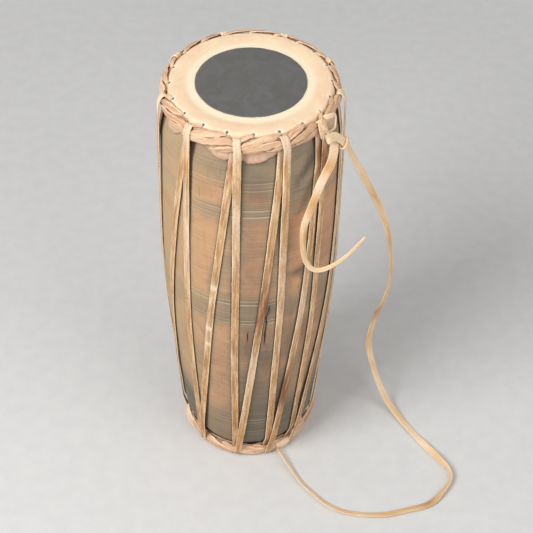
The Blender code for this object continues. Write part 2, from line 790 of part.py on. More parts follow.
def make_tie(material):
    """Turn of the strap's end round the lower rope."""
    angle = math.radians(TIE_ANGLE)
    loop = []
    for i in range(TIE_STEPS):
        loop.append(around_axis(angle, *LOWER.wrap(LACE_THICKNESS, 2 * math.pi * i / TIE_STEPS)))
    return ribbon("lower_strap_tie", loop, [sideways(angle)] * len(loop), [TIE_WIDTH] * len(loop),
                  LACE_THICKNESS, material, closed=True)


def carry_route():
    """Points of the carrying strap from knot to lower tie, and the direction of its width."""
    knot, knot_across = knot_path()
    leave = (knot[-1] - knot[-2]).normalized()
    start = knot[-1] + leave * STRAP_START_GAP
    places = [start]
    across = [knot_across[-1]]
    for x, y, share in HANGING_ROUTE:
        places.append(Vector((x, y, share * start.z)))
        across.append(Vector(HANGING_ACROSS))
    for i, (x, y, tilt) in enumerate(FLOOR_ROUTE):
        before = FLOOR_ROUTE[max(i - 1, 0)]
        after = FLOOR_ROUTE[min(i + 1, len(FLOOR_ROUTE) - 1)]
        along = Vector((after[0] - before[0], after[1] - before[1], 0.0)).normalized()
        lean = math.radians(tilt)
        level = Vector((-along.y, along.x, 0.0))
        across.append(level * math.cos(lean) + Vector((0.0, 0.0, math.sin(lean))))
        lift = STRAP_WIDTH / 2 * math.sin(lean) + STRAP_THICKNESS / 2 * math.cos(lean)
        places.append(Vector((x, y, lift + FLOOR_CLEARANCE)))
    angle = math.radians(TIE_ANGLE)
    tie_radius, tie_z = LOWER.wrap(LACE_THICKNESS, LOWER.widest_turn(LACE_THICKNESS))
    end = around_axis(angle, tie_radius + LACE_THICKNESS / 2 + GAP, tie_z - STRAP_LIFT_TO_TIE)
    places.append(end)
    across.append(across[-1])
    return smooth_route(places, ROUTE_STEPS), smooth_route(across, ROUTE_STEPS)


def make_carry_strap(material):
    """Carrying strap, hanging from the knot to the floor and back to the lower rope."""
    path, across = carry_route()
    widths = []
    for i in range(len(path)):
        share = i / (len(path) - 1)
        widths.append(float(np.interp(share, (STRAP_TAPER_FROM, 1.0), (STRAP_WIDTH, STRAP_END_WIDTH))))
    return ribbon("carry_strap", path, across, widths, STRAP_THICKNESS, material)


def make_tail(material):
    """Bare end of the strap, curling down in front of the drum."""
    knot = knot_path()[0]
    behind = KNOT_THICKNESS / 2 + GAP + STRAP_THICKNESS / 2
    start = knot[round(TAIL_SHARE * (len(knot) - 1))] - knot_facing() * behind
    path = smooth_route([start] + [near_hanger(*point) for point in TAIL_ROUTE], ROUTE_STEPS)
    across = []
    for point, along in zip(path, tangents(path, False)):
        away = Vector((point.x, point.y, 0.0)).normalized()
        across.append(along.cross(away).normalized())
    widths = np.linspace(STRAP_WIDTH, TAIL_END_WIDTH, len(path))
    return ribbon("strap_tail", path, across, widths, STRAP_THICKNESS, material)


def main():
    """Build every part of the drum."""
    clear_scene()
    wood = make_material(*SHELL_WOOD)
    make_shell(wood)
    skin = make_material(*HEAD_SKIN)
    collar_skin = make_material(*COLLAR_SKIN)
    paste = make_material(*TUNING_PASTE)
    rope_hide = make_material(*ROPE_HIDE)
    for end in (UPPER, LOWER):
        make_membrane(end, skin)
        make_collar(end, collar_skin)
        make_paste(end, paste)
        make_strand(end, end.name + "_rope_strand_a", 0.0, rope_hide)
        make_strand(end, end.name + "_rope_strand_b", math.pi, rope_hide)
    lace_hide = make_material(*LACE_HIDE)
    for index in range(len(LOOP_ANGLES)):
        make_lace_loop(index, lace_hide)
    strap_hide = make_material(*STRAP_HIDE)
    make_knot(strap_hide)
    make_hanger(strap_hide)
    make_keeper(strap_hide)
    make_tie(strap_hide)
    make_carry_strap(strap_hide)
    make_tail(strap_hide)


main()
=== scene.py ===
"""Looks of a madal: stained shell, skins, stitched rope rings, rawhide lacing and carrying strap.

Heights are measured from the floor, and angles from the front (-Y) towards +X. Sizes are in metres. In the
rows of tables, angles are in degrees and lengths in millimetres.
"""
import math

import bpy
import numpy as np
from mathutils import Matrix, Vector


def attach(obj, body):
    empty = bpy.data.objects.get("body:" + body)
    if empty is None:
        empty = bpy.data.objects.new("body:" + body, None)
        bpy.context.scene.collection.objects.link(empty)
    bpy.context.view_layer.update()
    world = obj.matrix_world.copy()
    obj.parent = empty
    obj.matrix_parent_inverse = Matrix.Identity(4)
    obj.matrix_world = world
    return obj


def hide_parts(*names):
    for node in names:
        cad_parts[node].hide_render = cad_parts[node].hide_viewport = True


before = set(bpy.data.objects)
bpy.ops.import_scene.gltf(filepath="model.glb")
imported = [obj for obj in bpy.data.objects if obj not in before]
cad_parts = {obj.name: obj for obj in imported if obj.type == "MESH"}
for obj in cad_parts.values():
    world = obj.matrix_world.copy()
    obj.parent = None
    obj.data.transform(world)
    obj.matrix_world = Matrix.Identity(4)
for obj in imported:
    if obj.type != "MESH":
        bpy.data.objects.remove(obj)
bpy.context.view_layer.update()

MM = 0.001

# Camera of the photograph: image side and focal length in pixels, place, pitch and roll
IMAGE_SIDE = 533
FOCAL_PIXELS = 1300
SENSOR_WIDTH = 36.0
CAMERA_PLACE = Vector((0.01728, -0.92139, 1.18081))
CAMERA_PITCH = math.radians(45.764)
CAMERA_ROLL = math.radians(1.258)

# Lamps: name, place, point aimed at, size and power
LAMPS = (
    ("key", (-1.10, -0.95, 1.65), (0, 0, 0.25), 0.9, 32),
    ("fill", (1.2, -1.0, 1.2), (0, 0, 0.2), 1.4, 11.5),
)

# Surroundings: colour, brightness as a light and to the camera, and where the floor passes into them
SURROUNDINGS = (1.0, 0.99, 0.97, 1.0)
LIT_STRENGTH = 0.42
SEEN_STRENGTH = 0.80
FLOOR_HALF = 8.0
FLOOR_FADE = (0.7, 2.0)

# Skins and paste on the ends of the shell
GAP = 0.0003
MEMBRANE_THICKNESS = 0.0006
COLLAR_THICKNESS = 0.0009
COLLAR_OUT = MEMBRANE_THICKNESS + 2 * GAP
HEAD_STACK = COLLAR_OUT + COLLAR_THICKNESS
COLLAR_LAP = 0.017
COLLAR_FEATHER = 0.012
MEMBRANE_LAP = 0.006
BEARING_ROUND = 0.002
HEM_BAND = 0.006
HEM_THINNING = 0.65
PASTE_THICKNESS = 0.00078
PASTE_BEVEL = (0.0007, 0.0006)
PASTE_CENTRE = 0.004

# Where the cream of each skin ends, from and to, outside the opening
COLLAR_CREAM = (-0.001, 0.005)
MEMBRANE_CREAM = (0.01, 0.02)

# Shell
SHELL_BOTTOM = HEAD_STACK
SHELL_TOP = SHELL_BOTTOM + 0.4658
BELLY_Z = SHELL_BOTTOM + 0.278
BELLY_RADIUS = 0.0857
BELLY_BORE = 0.0745
SCORE_HALF_WIDTH = 0.0008
SCORE_DEPTH = 0.0005
CRACK_DEPTH = 0.0014
FOOT_WHOLE = 0.075
HEAD_BLUR = 0.012

# Stitch holes of each collar: how many, the first one's angle, place out from the seat and along, half size
HOLE_COUNT = 20
FIRST_HOLE = math.radians(3.0)
HOLE_PLACE = (0.0013, -0.0010)
HOLE_HALF = 0.0014

# Lacing: its crossings are kept clear for the full width, and it is shown with its edges worn. The pull is
# the half angle in degrees over which a lace presses on what lies under it
LACE_WIDTH = 0.0080
LACE_WORN_WIDTH = 0.0072
LACE_THICKNESS = 0.0014
LACE_OUT = HEAD_STACK + GAP + LACE_THICKNESS / 2
LACE_LIFT = LACE_THICKNESS + 0.0005
LACE_SWAY = 0.0005
LACE_START = 0.0010
LOOP_ANGLES = (-76.0, -40.5, -7.5, 22.0, 49.8, 83.0, 118.0, 158.5, 200.0, 240.0)
TURN_ANGLES = (-87.0, -46.5, -9.5, 19.5, 43.5, 77.5, 113.0, 153.0, 195.0, 233.0)
LEG_SIDESTEP = math.radians(1.0)
BED_CLEARANCE = 0.0002
WRAP_CLEARANCE = 0.0005
BIGHT_RELIEF = 0.0004
STRAND_CLEARANCE = 0.0004
LACE_PULL = 3.8
LACE_WIDE_PULL = 6.0

# Heights between which the laces darken downwards, and between which they bleach upwards
LACE_DARK_FOOT = (0.20, 0.08)
LACE_PALE_HEAD = (0.435, 0.460)

# Carrying strap and its knot
STRAP_WIDTH = 0.0078
STRAP_THICKNESS = 0.0014
STRAP_END_WIDTH = 0.0066
STRAP_TAPER_FROM = 0.62
STRAP_LIFT_TO_TIE = 0.0028
STRAP_START_GAP = 0.0008
STRAP_FOOT_ANGLE = math.radians(30.0)
FLOOR_CLEARANCE = 0.0006
TAIL_FACING = (0.35, -0.75, 0.55)
HANGER_ANGLE = math.radians(52.6)
THONG_THICKNESS = 0.0012
KNOT_WIDTH = 0.0090
KNOT_THICKNESS = 0.0030
KNOT_LAYER = 0.00082
KNOT_FACING = (0.80, 0.60)
KNOT_BAND_THICKNESS = 0.0013
KEEPER_WIDTH = 0.0040
KEEPER_THICKNESS = 0.0015
LOOSE_THICKNESS = 0.0014
SEAT_LEAN = np.array((0, 0, 0.6))

# Rope rings: how far out the bulk of a ring is measured from, and its least bulk under a lace
RING_ROOT = 0.0026
BULK_AT_LACE = 0.74

# Distance from the laces at which they no longer matter, and shift of the hide's pattern from strip to strip
FAR = 0.02
FLOW_SHIFT = 0.37

# Fineness
SHELL_COLUMNS = 204
SHELL_ROWS = 112
SKIN_COLUMNS = 360
HEM_ROWS = 11
SECTION_POINTS = 14
ROUTE_STEPS = 10
LEG_POINTS = 150
BIGHT_POINTS = 22
STRIP_POINTS = 90
STRIP_SECTION = 22

# Hides: pale, tan and brown tones, shares of worn edge and of streaks, size of blotches, painted shade at the
# edges
HIDES = {
    "strap": ((0.93, 0.69, 0.42), (0.87, 0.58, 0.31), (0.66, 0.38, 0.17), 0.5, 0.45, 0.03, 0.0),
    "lace": ((0.81, 0.55, 0.32), (0.68, 0.40, 0.19), (0.38, 0.185, 0.070), 0.8, 0.75, 0.022, 0.0),
    "upper_rope": ((0.82, 0.56, 0.36), (0.71, 0.44, 0.27), (0.46, 0.22, 0.12), 0.45, 0.6, 0.016, 0.7),
    "lower_rope": ((0.84, 0.55, 0.37), (0.72, 0.43, 0.27), (0.42, 0.20, 0.10), 0.45, 0.7, 0.016, 0.6),
}

# Colours
AMBER = (0.66, 0.33, 0.11)
BLEACHED = (0.90, 0.73, 0.56)
DARK_STAIN_AND_SHADE = (0.25, 0.095, 0.035)
PALE_STREAK = (0.95, 0.75, 0.50)
WORN_EDGE = (0.93, 0.74, 0.50)
EDGE_SHADE = (0.20, 0.095, 0.050)
SKIN_PEACH = (0.89, 0.68, 0.45)
SKIN_PINK = (0.87, 0.60, 0.41)
SKIN_PALE = (0.90, 0.73, 0.50)
SKIN_CREAM = (0.92, 0.79, 0.58)
SKIN_PORES = (0.58, 0.34, 0.2)
HEM_DIRT = (0.58, 0.365, 0.26)
HEM_DARK = (0.42, 0.235, 0.165)
HOLE_HALO = (0.92, 0.80, 0.60)
HOLE_SHADE = (0.03, 0.015, 0.008)
# Paste greys, lighter than black paste itself: partly the paste's colour, partly painted sheen
PASTE_WARM = (0.105, 0.100, 0.093)
PASTE_GREY = (0.128, 0.128, 0.128)
PASTE_RINGS = (0.155, 0.150, 0.145)
PASTE_GRAIN = (0.07, 0.068, 0.064)
WOOD_DULL = (0.305, 0.188, 0.114)
WOOD_WORN = (0.63, 0.336, 0.176)
WOOD_FADED_AND_LIT = (0.475, 0.338, 0.185)
WOOD_GRAIN = (0.12, 0.085, 0.055)
WOOD_STREAKS = (0.17, 0.115, 0.075)
STAIN_DARK = (0.243, 0.201, 0.133)
STAIN_PALE = (0.355, 0.283, 0.189)
FOOT_STAIN_AND_SHADE = (0.130, 0.110, 0.078)
STAIN_BAND = (0.11, 0.095, 0.07)
TOOL_DARK = (0.15, 0.105, 0.070)
TOOL_PALE = (0.66, 0.47, 0.31)
SCORE_PALE = (0.56, 0.49, 0.35)
SCORE_DARK = (0.10, 0.085, 0.060)
SMUDGE_AND_SHADOW_DARK = (0.10, 0.075, 0.055)
LACE_SHADE = (0.075, 0.062, 0.045)
CRACK_SHADE = (0.020, 0.016, 0.013)
FLOOR_DARK = (0.66, 0.66, 0.66)
FLOOR_PALE = (0.69, 0.69, 0.685)

# Ragged hems of the collars: angle, and how far the skin hangs below the even edge
UPPER_HEM = (
    (-180, 8.5), (-172, 4), (-165, 0), (-148, 0), (-143, 5), (-136, 5.8), (-130, 0), (-67, 0), (-62, 4.8),
    (-55, 5.5), (-50, 1), (-38, 0), (-29, 0), (-24, 3), (-19.5, 6.6), (-15, 8), (-11, 5.2), (-5, 5.8),
    (0, 7.6), (6, 7), (12, 4.8), (18.5, 1.6), (20, 0), (51, 0), (57, 4), (64, 5), (71, 2), (74, 0), (91, 0),
    (96, 6), (102, 8), (108, 5), (111, 0), (169, 0), (174, 6), (180, 8.5),
)
LOWER_HEM = (
    (-180, 4.5), (-172, 0), (-78, 0), (-70, 4.5), (-62, 4), (-55, 0), (-3, 0), (2, 3.2), (8, 4), (15, 0),
    (84, 0), (90, 4), (100, 4), (106, 0), (162, 0), (170, 4.5), (180, 4.5),
)

# Turns of the strap round the lower rope: angle, skew in radians, extra size, width
TIE_TURNS = (
    (31.8, 0.012, 0.2, 7.8), (36.6, -0.006, 1, 7.6), (41.4, -0.022, 0.3, 7),
)

# Thongs by the knot: points (angle, out, along), widths from start to end, whether they reach the knot, and
# bleaching
THONGS = (
    (((53.4, 3, 1.6), (55.7, 7.2, 3), (59, 9, 4.2), (62.3, 9.7, 6), (62.5, 10.3, 8.5), (60.5, 10.9, 12),
      (57.5, 11.3, 15.5)), (2.6, 4.6, 4.6, 3, 2, 1.8, 1.8, 1.8), True, 0.5),
    (((49.2, 10.4, 10.5), (51, 11.4, 13.8), (52, 11.5, 15.8)), (3, 2.4, 2.2), True, 0.5),
    (((47, 9.8, 4), (48.6, 11.8, 7), (50.2, 12.2, 10.5), (51.9, 10.8, 14.2), (53.5, 8.8, 16.5)),
     (4, 3.4, 2.2, 1.8, 1.8), False, 0.45),
    (((48.4, 9.2, 3), (47.9, 11.2, 6.2), (47.2, 11.7, 9.8), (46.5, 11.3, 13.2), (46, 10.4, 16.4)),
     (6.6, 8.6, 7.4, 4, 0.6), False, 0.3),
    (((56.6, 0.6, -1.2), (54.8, 3.8, 0.4), (51.5, 7.7, 2.4), (49, 10.2, 5)),
     (2.2, 2.8, 2.6, 2.6), False, 0),
)

# Routes of the knot and the strap's tail from the hanger: sideways, out from the rope, down from its middle
KNOT_ROUTE = (
    (-3, 5.2, 8.2), (1, 5.7, 8.4), (5.2, 7, 10.2), (9.8, 9, 15), (14, 11.2, 21.2), (17.2, 12.8, 27.2),
)
TAIL_ROUTE = (
    (6.6, 5.6, 19), (3, 8, 26.8), (-3.6, 9.8, 35), (-15, 9, 49.2), (-25, 8, 69), (-34.2, 6.8, 88),
    (-36.6, 7.8, 108), (-36.2, 11, 128), (-32.5, 17.2, 139), (-24.4, 23.8, 141.5), (-13.5, 31, 137),
    (-1.5, 37, 129), (17.3, 40, 121),
)

# Width of the tail: share of its length, width
TAIL_WIDTHS = ((0, 9.2), (0.3, 8), (0.6, 5.6), (1, 2.6))

# Hanging part of the strap: x, y, height as a share of the knot's, and direction of its width
HANGING_ROUTE = (
    (100, -33, 0.919, 45), (116.3, -17, 0.8145, 52), (127.6, -9, 0.741, 42), (136.6, -2, 0.661, 55),
    (142.7, 5.5, 0.572, 62), (145.3, 12, 0.483, 58), (142.6, 16, 0.402, 42), (136.2, 19, 0.336, 31),
    (131.3, 20, 0.232, 29), (139.1, 19, 0.138, 41), (150, 14, 0.063, 40), (163, 3, 0.016, 40),
)

# Strap on the floor: x, y and tilt
FLOOR_ROUTE = (
    (182.8, -25.2, -8), (200.2, -49.4, 24), (212.6, -66.3, 56), (221.6, -79.4, 74), (223, -93.9, 60),
    (213, -110.3, 36), (198, -125.1, 6), (174.4, -133.3, 14), (149.8, -139.8, 16), (126.3, -140.6, 20),
    (104.5, -137, 24), (87, -128.2, 28), (73.9, -116.4, 34), (60.9, -102.4, 37), (52.5, -89, 41),
)

# Worn and stained stretches of the strap and of its tail: distance along, half length, kind and strength
STRAP_MARKS = (
    (15, 35, "bleach", 0.75), (90, 12, "amber", 0.75), (118, 12, "bleach", 0.5), (165, 22, "amber", 0.9),
    (225, 35, "amber", 0.55), (225, 35, "dark", 0.18), (303, 22, "amber", 0.6), (303, 20, "dark", 0.55),
    (420, 40, "bleach", 0.65), (455, 12, "amber", 0.5), (505, 25, "bleach", 0.85), (565, 20, "bleach", 0.5),
    (622, 24, "amber", 0.9), (612, 15, "dark", 0.5), (660, 26, "amber", 0.6), (775, 50, "bleach", 0.9),
)
TAIL_MARKS = (
    (8, 11, "bleach", 0.8), (27, 9, "amber", 1), (44, 9, "bleach", 1), (67, 12, "amber", 1.1),
    (83, 5, "bleach", 0.4), (102, 15, "amber", 1.1), (138, 13, "bleach", 0.6), (172, 10, "amber", 0.5),
)

# Worn and stained stretches of lace, and stretches of painted shade, by loop and leg: height, half length,
# kind and strength
LACE_MARKS = {
    (0, "front"): ((330, 80, "amber", 0.4),),
    (1, "back"): ((300, 40, "amber", 0.35),),
    (1, "front"): ((200, 50, "amber", 0.45), (340, 60, "bleach", 0.45)),
    (2, "back"): (
        (345, 50, "amber", 0.35), (287, 3.5, "bleach", 1.2), (225.5, 4, "bleach", 1.2),
        (200, 3, "bleach", 1.2), (437, 7, "dark", 0.8),
    ),
    (2, "front"): ((368, 50, "bleach", 0.45), (255, 55, "amber", 0.6), (205, 12, "dark", 0.45)),
    (3, "back"): ((262, 45, "dark", 1), (330, 30, "amber", 0.5), (160, 35, "bleach", 0.55)),
    (3, "front"): ((300, 60, "bleach", 0.3), (50, 40, "dark", 0.35)),
    # The dark and amber marks near the top of the fifth loop (index 4), at 425 to 437 mm, are painted shade
    # under the knot
    (4, "back"): (
        (124, 34, "dark", 1.35), (260, 40, "bleach", 0.45), (45, 30, "dark", 0.4), (437, 10, "dark", 0.75),
        (425, 16, "amber", 0.7),
    ),
    (4, "front"): ((230, 40, "amber", 0.4), (60, 50, "dark", 0.45), (437, 22, "dark", 0.85)),
    (5, "back"): ((70, 50, "dark", 0.45), (330, 40, "bleach", 0.4)),
    (5, "front"): ((180, 50, "dark", 0.4), (60, 50, "dark", 0.45)),
    (6, "back"): ((200, 30, "dark", 0.6),),
    (7, "front"): ((300, 60, "amber", 0.5),),
    (8, "back"): ((150, 30, "dark", 0.6),),
    (9, "front"): ((220, 50, "bleach", 0.4),),
}

# Outlines that the strips of each rope ring lie on: out from the seat, along it from the face
UPPER_RING = (
    (-0.4, -0.8), (0.4, -2.2), (2, -0.8), (3.3, 0.7), (5.6, 2.1), (7.4, 4.9), (8.1, 8.9), (7.8, 12.8),
    (6.6, 15.3), (4.8, 16.2), (3.6, 15),
)
LOWER_RING = (
    (2.2, 0.4), (3.4, 1), (5.4, 2.2), (7.4, 4.6), (8, 7.8), (7.7, 10.8), (6.5, 13.3), (4.8, 15),
    (3.4, 16.2), (2.7, 16.8),
)

# Strips of each ring: span, width, and places across the outline from start to stitch, as shares
UPPER_STRIPS = (47.0, 0.22, 0.88, 0.90, 0.78, 0.29, 0.19)
LOWER_STRIPS = (66.0, 0.38, 0.84, 0.86, 0.76, 0.34, 0.16)

# Bulk of the upper ring round the drum: angle, and share of its full size
UPPER_BULK = (
    (-180, 0.62), (-120, 0.7), (-95, 0.78), (-60, 0.86), (-40, 1), (-8, 1), (8, 0.92), (22, 0.93),
    (36, 0.88), (46, 0.86), (56, 0.64), (70, 0.56), (95, 0.58), (130, 0.6), (180, 0.62),
)

# How rough the strip to each hole is, from 0 to 1, starting at the first hole
STRIP_ROUGH = (
    0.95, 0.5, 0.65, 0.3, 0.7, 0.4, 0.8, 0.2, 0.6, 0.35, 0.75, 0.25, 0.55, 0.9, 0.3, 0.6, 0.35, 0.55, 0.75,
    0.05,
)

# Loose strips of the lower ring: points (angle, out, along), widths from start to end, bleaching
LOOSE_STRIPS = (
    (((64, 5.6, 9), (70, 7.4, 14), (77, 8.2, 22), (84, 8.6, 29), (89, 6, 35)), (7, 7.8, 7, 5.2), 0),
    (((-90, 5, 20), (-82, 8.2, 18), (-74, 9, 15), (-66, 8.6, 12), (-58, 6.4, 9)), (6, 8.8, 9.2, 7), 0.6),
)

# Turned score lines of the shell: height and how strongly the line shows
SCORE_LINES = (
    (421.3, 0.55), (417.3, 0.2), (413.3, 0.55), (390.1, 0.85), (382.5, 0.8), (274.4, 1), (269.3, 1),
    (246, 1), (241.5, 0.9), (74.1, 0.6), (69.2, 0.6), (52.4, 0.5),
)

# How much of the score lines is left round the drum: angle, share
SCORE_KEPT = (
    (-180, 1), (-105, 0.9), (-92, 0), (-50, 0), (-44, 0.6), (-14, 0.75), (-6, 1), (20, 1), (25, 0.12),
    (42, 0.12), (48, 0.6), (75, 0.8), (180, 1),
)

# Wear of the shell round the drum: angle, and how far the stain has gone
WEAR = (
    (-180, 0.6), (-130, 0.9), (-100, 0.5), (-60, 1), (-30, 1), (-14, 0.8), (-2, 0.3), (10, 0.25), (22, 0.4),
    (33, 1), (48, 0.5), (70, 0.7), (100, 0.4), (140, 0.8), (180, 0.6),
)

# Bands of the shell that kept their stain: height, half width, how much of it is left, and how dark it is
STAIN_BANDS = (
    (445, 30, 0.85, 0.08), (385, 11, 0.6, 0), (258, 21, 0.75, 0.28),
)

# Stain at the foot of the shell, darkened as painted shade: angle, and the height where it ends or the share
# of it that is left
FOOT_STAIN = (
    (-180, 170), (-60, 160), (-36, 110), (-14, 110), (-6, 200), (20, 200), (34, 150), (60, 160), (180, 170),
)
FOOT_KEPT = (
    (-180, 1), (-40, 1), (-34, 0.72), (-14, 0.72), (-8, 1), (180, 1),
)

# Stain at the head of the shell: angle, and the height where it begins
HEAD_STAIN = (
    (-180, 480), (24, 480), (27, 388), (42, 388), (47, 440), (60, 440), (70, 480), (180, 480),
)

# Paler colour of the shell round the drum, partly fading and partly painted light on the left: angle, and how
# far it has gone
FADING_AND_LEFT_LIGHT = (
    (-180, 0), (-110, 0.2), (-92, 0.9), (-52, 0.9), (-44, 0.55), (-34, 0.38), (-20, 0.28), (-12, 0),
    (180, 0),
)

# Dark smudges on the shell, and the tail's painted shadow from 44.5 to 31.5 degrees: angle, height, half
# angle, half height, strength
SMUDGES_AND_SHADOWS = (
    (33, 303, 7, 6, 0.75), (3, 420, 9, 18, 0.34), (-28, 410, 9, 14, 0.16), (4, 268, 8, 20, 0.18),
    (44.5, 435, 2.8, 11, 0.95), (42, 432, 2.8, 10.5, 0.98), (39.5, 428.5, 2.8, 9, 0.95),
    (37, 424.5, 2.8, 8, 0.88), (34.5, 420.5, 2.8, 7.5, 0.8), (31.5, 415, 2.8, 9, 0.62),
    (2, 205, 8, 30, 0.5), (13, 180, 7, 28, 0.5), (3, 150, 9, 36, 0.48), (29.5, 205, 4.5, 55, 0.52),
    (27.5, 115, 5, 30, 0.5), (41, 205, 4, 40, 0.45), (14, 262, 6, 12, 0.5), (-1, 220, 3, 10, 0.35),
    (60, 230, 9, 20, 0.4), (-70, 150, 8, 20, 0.35), (120, 300, 9, 15, 0.5), (205, 200, 8, 25, 0.45),
)

# Cracks in the shell: (angle, height) points from top to bottom, and half width
CRACKS = (
    (((14.8, 267), (13.4, 256), (12, 249), (12.6, 240), (12.1, 231), (11.3, 206)), 0.7),
    (((0.9, 229), (0.2, 222), (0, 213)), 0.5),
    (((9, 272), (8.2, 258), (7.4, 247)), 0.5),
    (((196, 330), (195.2, 300), (196.1, 268)), 0.6),
)


def polar(angle, radius, height):
    """Points at these angles, radii and heights."""
    return np.stack(np.broadcast_arrays(radius * np.sin(angle), -radius * np.cos(angle), height), axis=-1)


def sideways(angle):
    """Directions round the drum at these angles."""
    return np.stack([np.cos(angle), np.sin(angle), 0 * angle], axis=-1)


def unit(vectors):
    """The same directions at length one."""
    return vectors / np.linalg.norm(vectors, axis=-1, keepdims=True)


def turns(count):
    """Even turns round a circle."""
    return 2 * np.pi * np.arange(count) / count


def flattened(wave, power):
    """Wave between -1 and 1, drawn towards its ends."""
    return np.sign(wave) * np.abs(wave) ** power


def spread(values, count):
    """Values spread evenly over this many points."""
    return np.interp(np.linspace(0, 1, count), np.linspace(0, 1, len(values)), values)


def blend(x, low, high):
    """Smooth step from 0 at low to 1 at high."""
    t = np.clip((x - low) / (high - low), 0, 1)
    return t * t * (3 - 2 * t)


def bell(x, centre, half_width):
    """Smooth bump, 1 at its centre."""
    return np.exp(-((x - centre) / half_width) ** 2)


def apart(angle, other):
    """Smallest turn between two angles."""
    return np.abs((angle - other + np.pi) % (2 * np.pi) - np.pi)


def waves(x, seed, lowest, count=5):
    """Smooth noise between about -1 and 1: sine waves of rising frequency and random phase."""
    dice = np.random.default_rng(seed)
    total = 0.0
    for i in range(1, count + 1):
        total = total + np.sin(lowest * i * x + dice.uniform(0, 2 * np.pi)) / math.sqrt(i)
    return total / math.sqrt(count)


def wrinkles(distance, over, seed, pitch):
    """Lengthwise ridges of a hide strip, which come and go along it."""
    dice = np.random.default_rng(seed)
    total = 0.0
    for i in range(1, 5):
        drift = waves(distance, seed + 50 * i, pitch, 3)
        ridge = np.sin(2.2 * i * over + 1.5 * drift + dice.uniform(0, 6))
        total = total + ridge * (0.6 + 0.4 * drift) / math.sqrt(i)
    return total


def hermite(x, x0, y0, slope0, x1, y1, slope1):
    """Cubic through two points with the slope given at each."""
    span = x1 - x0
    t = (x - x0) / span
    from_start = (2 * t**3 - 3 * t**2 + 1) * y0 + (t**3 - 2 * t**2 + t) * span * slope0
    from_end = (3 * t**2 - 2 * t**3) * y1 + (t**3 - t**2) * span * slope1
    return from_start + from_end


def round_values(angle, table):
    """Values from a table that is given round the drum."""
    degrees = (np.degrees(angle) + 180) % 360 - 180
    return np.interp(degrees, *np.array(table).T)


def near_columns(count, places, reach, extra):
    """Even angles round the drum, with more of them within a reach in degrees of some places."""
    reach = math.radians(reach)
    angles = [turns(count)]
    for place in places:
        angles.append((place + np.linspace(-reach, reach, extra)) % (2 * np.pi))
    return np.unique(np.round(np.concatenate(angles), 5))


def smooth_route(points, steps=ROUTE_STEPS):
    """Smooth curve through a route's points, with this many steps from each to the next."""
    points = np.asarray(points, float)
    padded = np.vstack([2 * points[0] - points[1], points, 2 * points[-1] - points[-2]])
    route = []
    for p0, p1, p2, p3 in zip(padded, padded[1:], padded[2:], padded[3:]):
        bend = p0 * 2 - p1 * 5 + p2 * 4 - p3
        twist = p1 * 3 - p0 - p2 * 3 + p3
        for t in np.arange(steps) / steps:
            route.append((p1 * 2 + (p2 - p0) * t + bend * t**2 + twist * t**3) / 2)
    return np.array(route + [points[-1]])


def travel(path, closed=False):
    """Directions of travel along a path, and distances from its start."""
    along = np.roll(path, -1, 0) - np.roll(path, 1, 0) if closed else np.gradient(path, axis=0)
    steps = np.linalg.norm(np.diff(path, axis=0), axis=1)
    return unit(along), np.concatenate([[0], np.cumsum(steps)])


HOLES = FIRST_HOLE + turns(HOLE_COUNT)


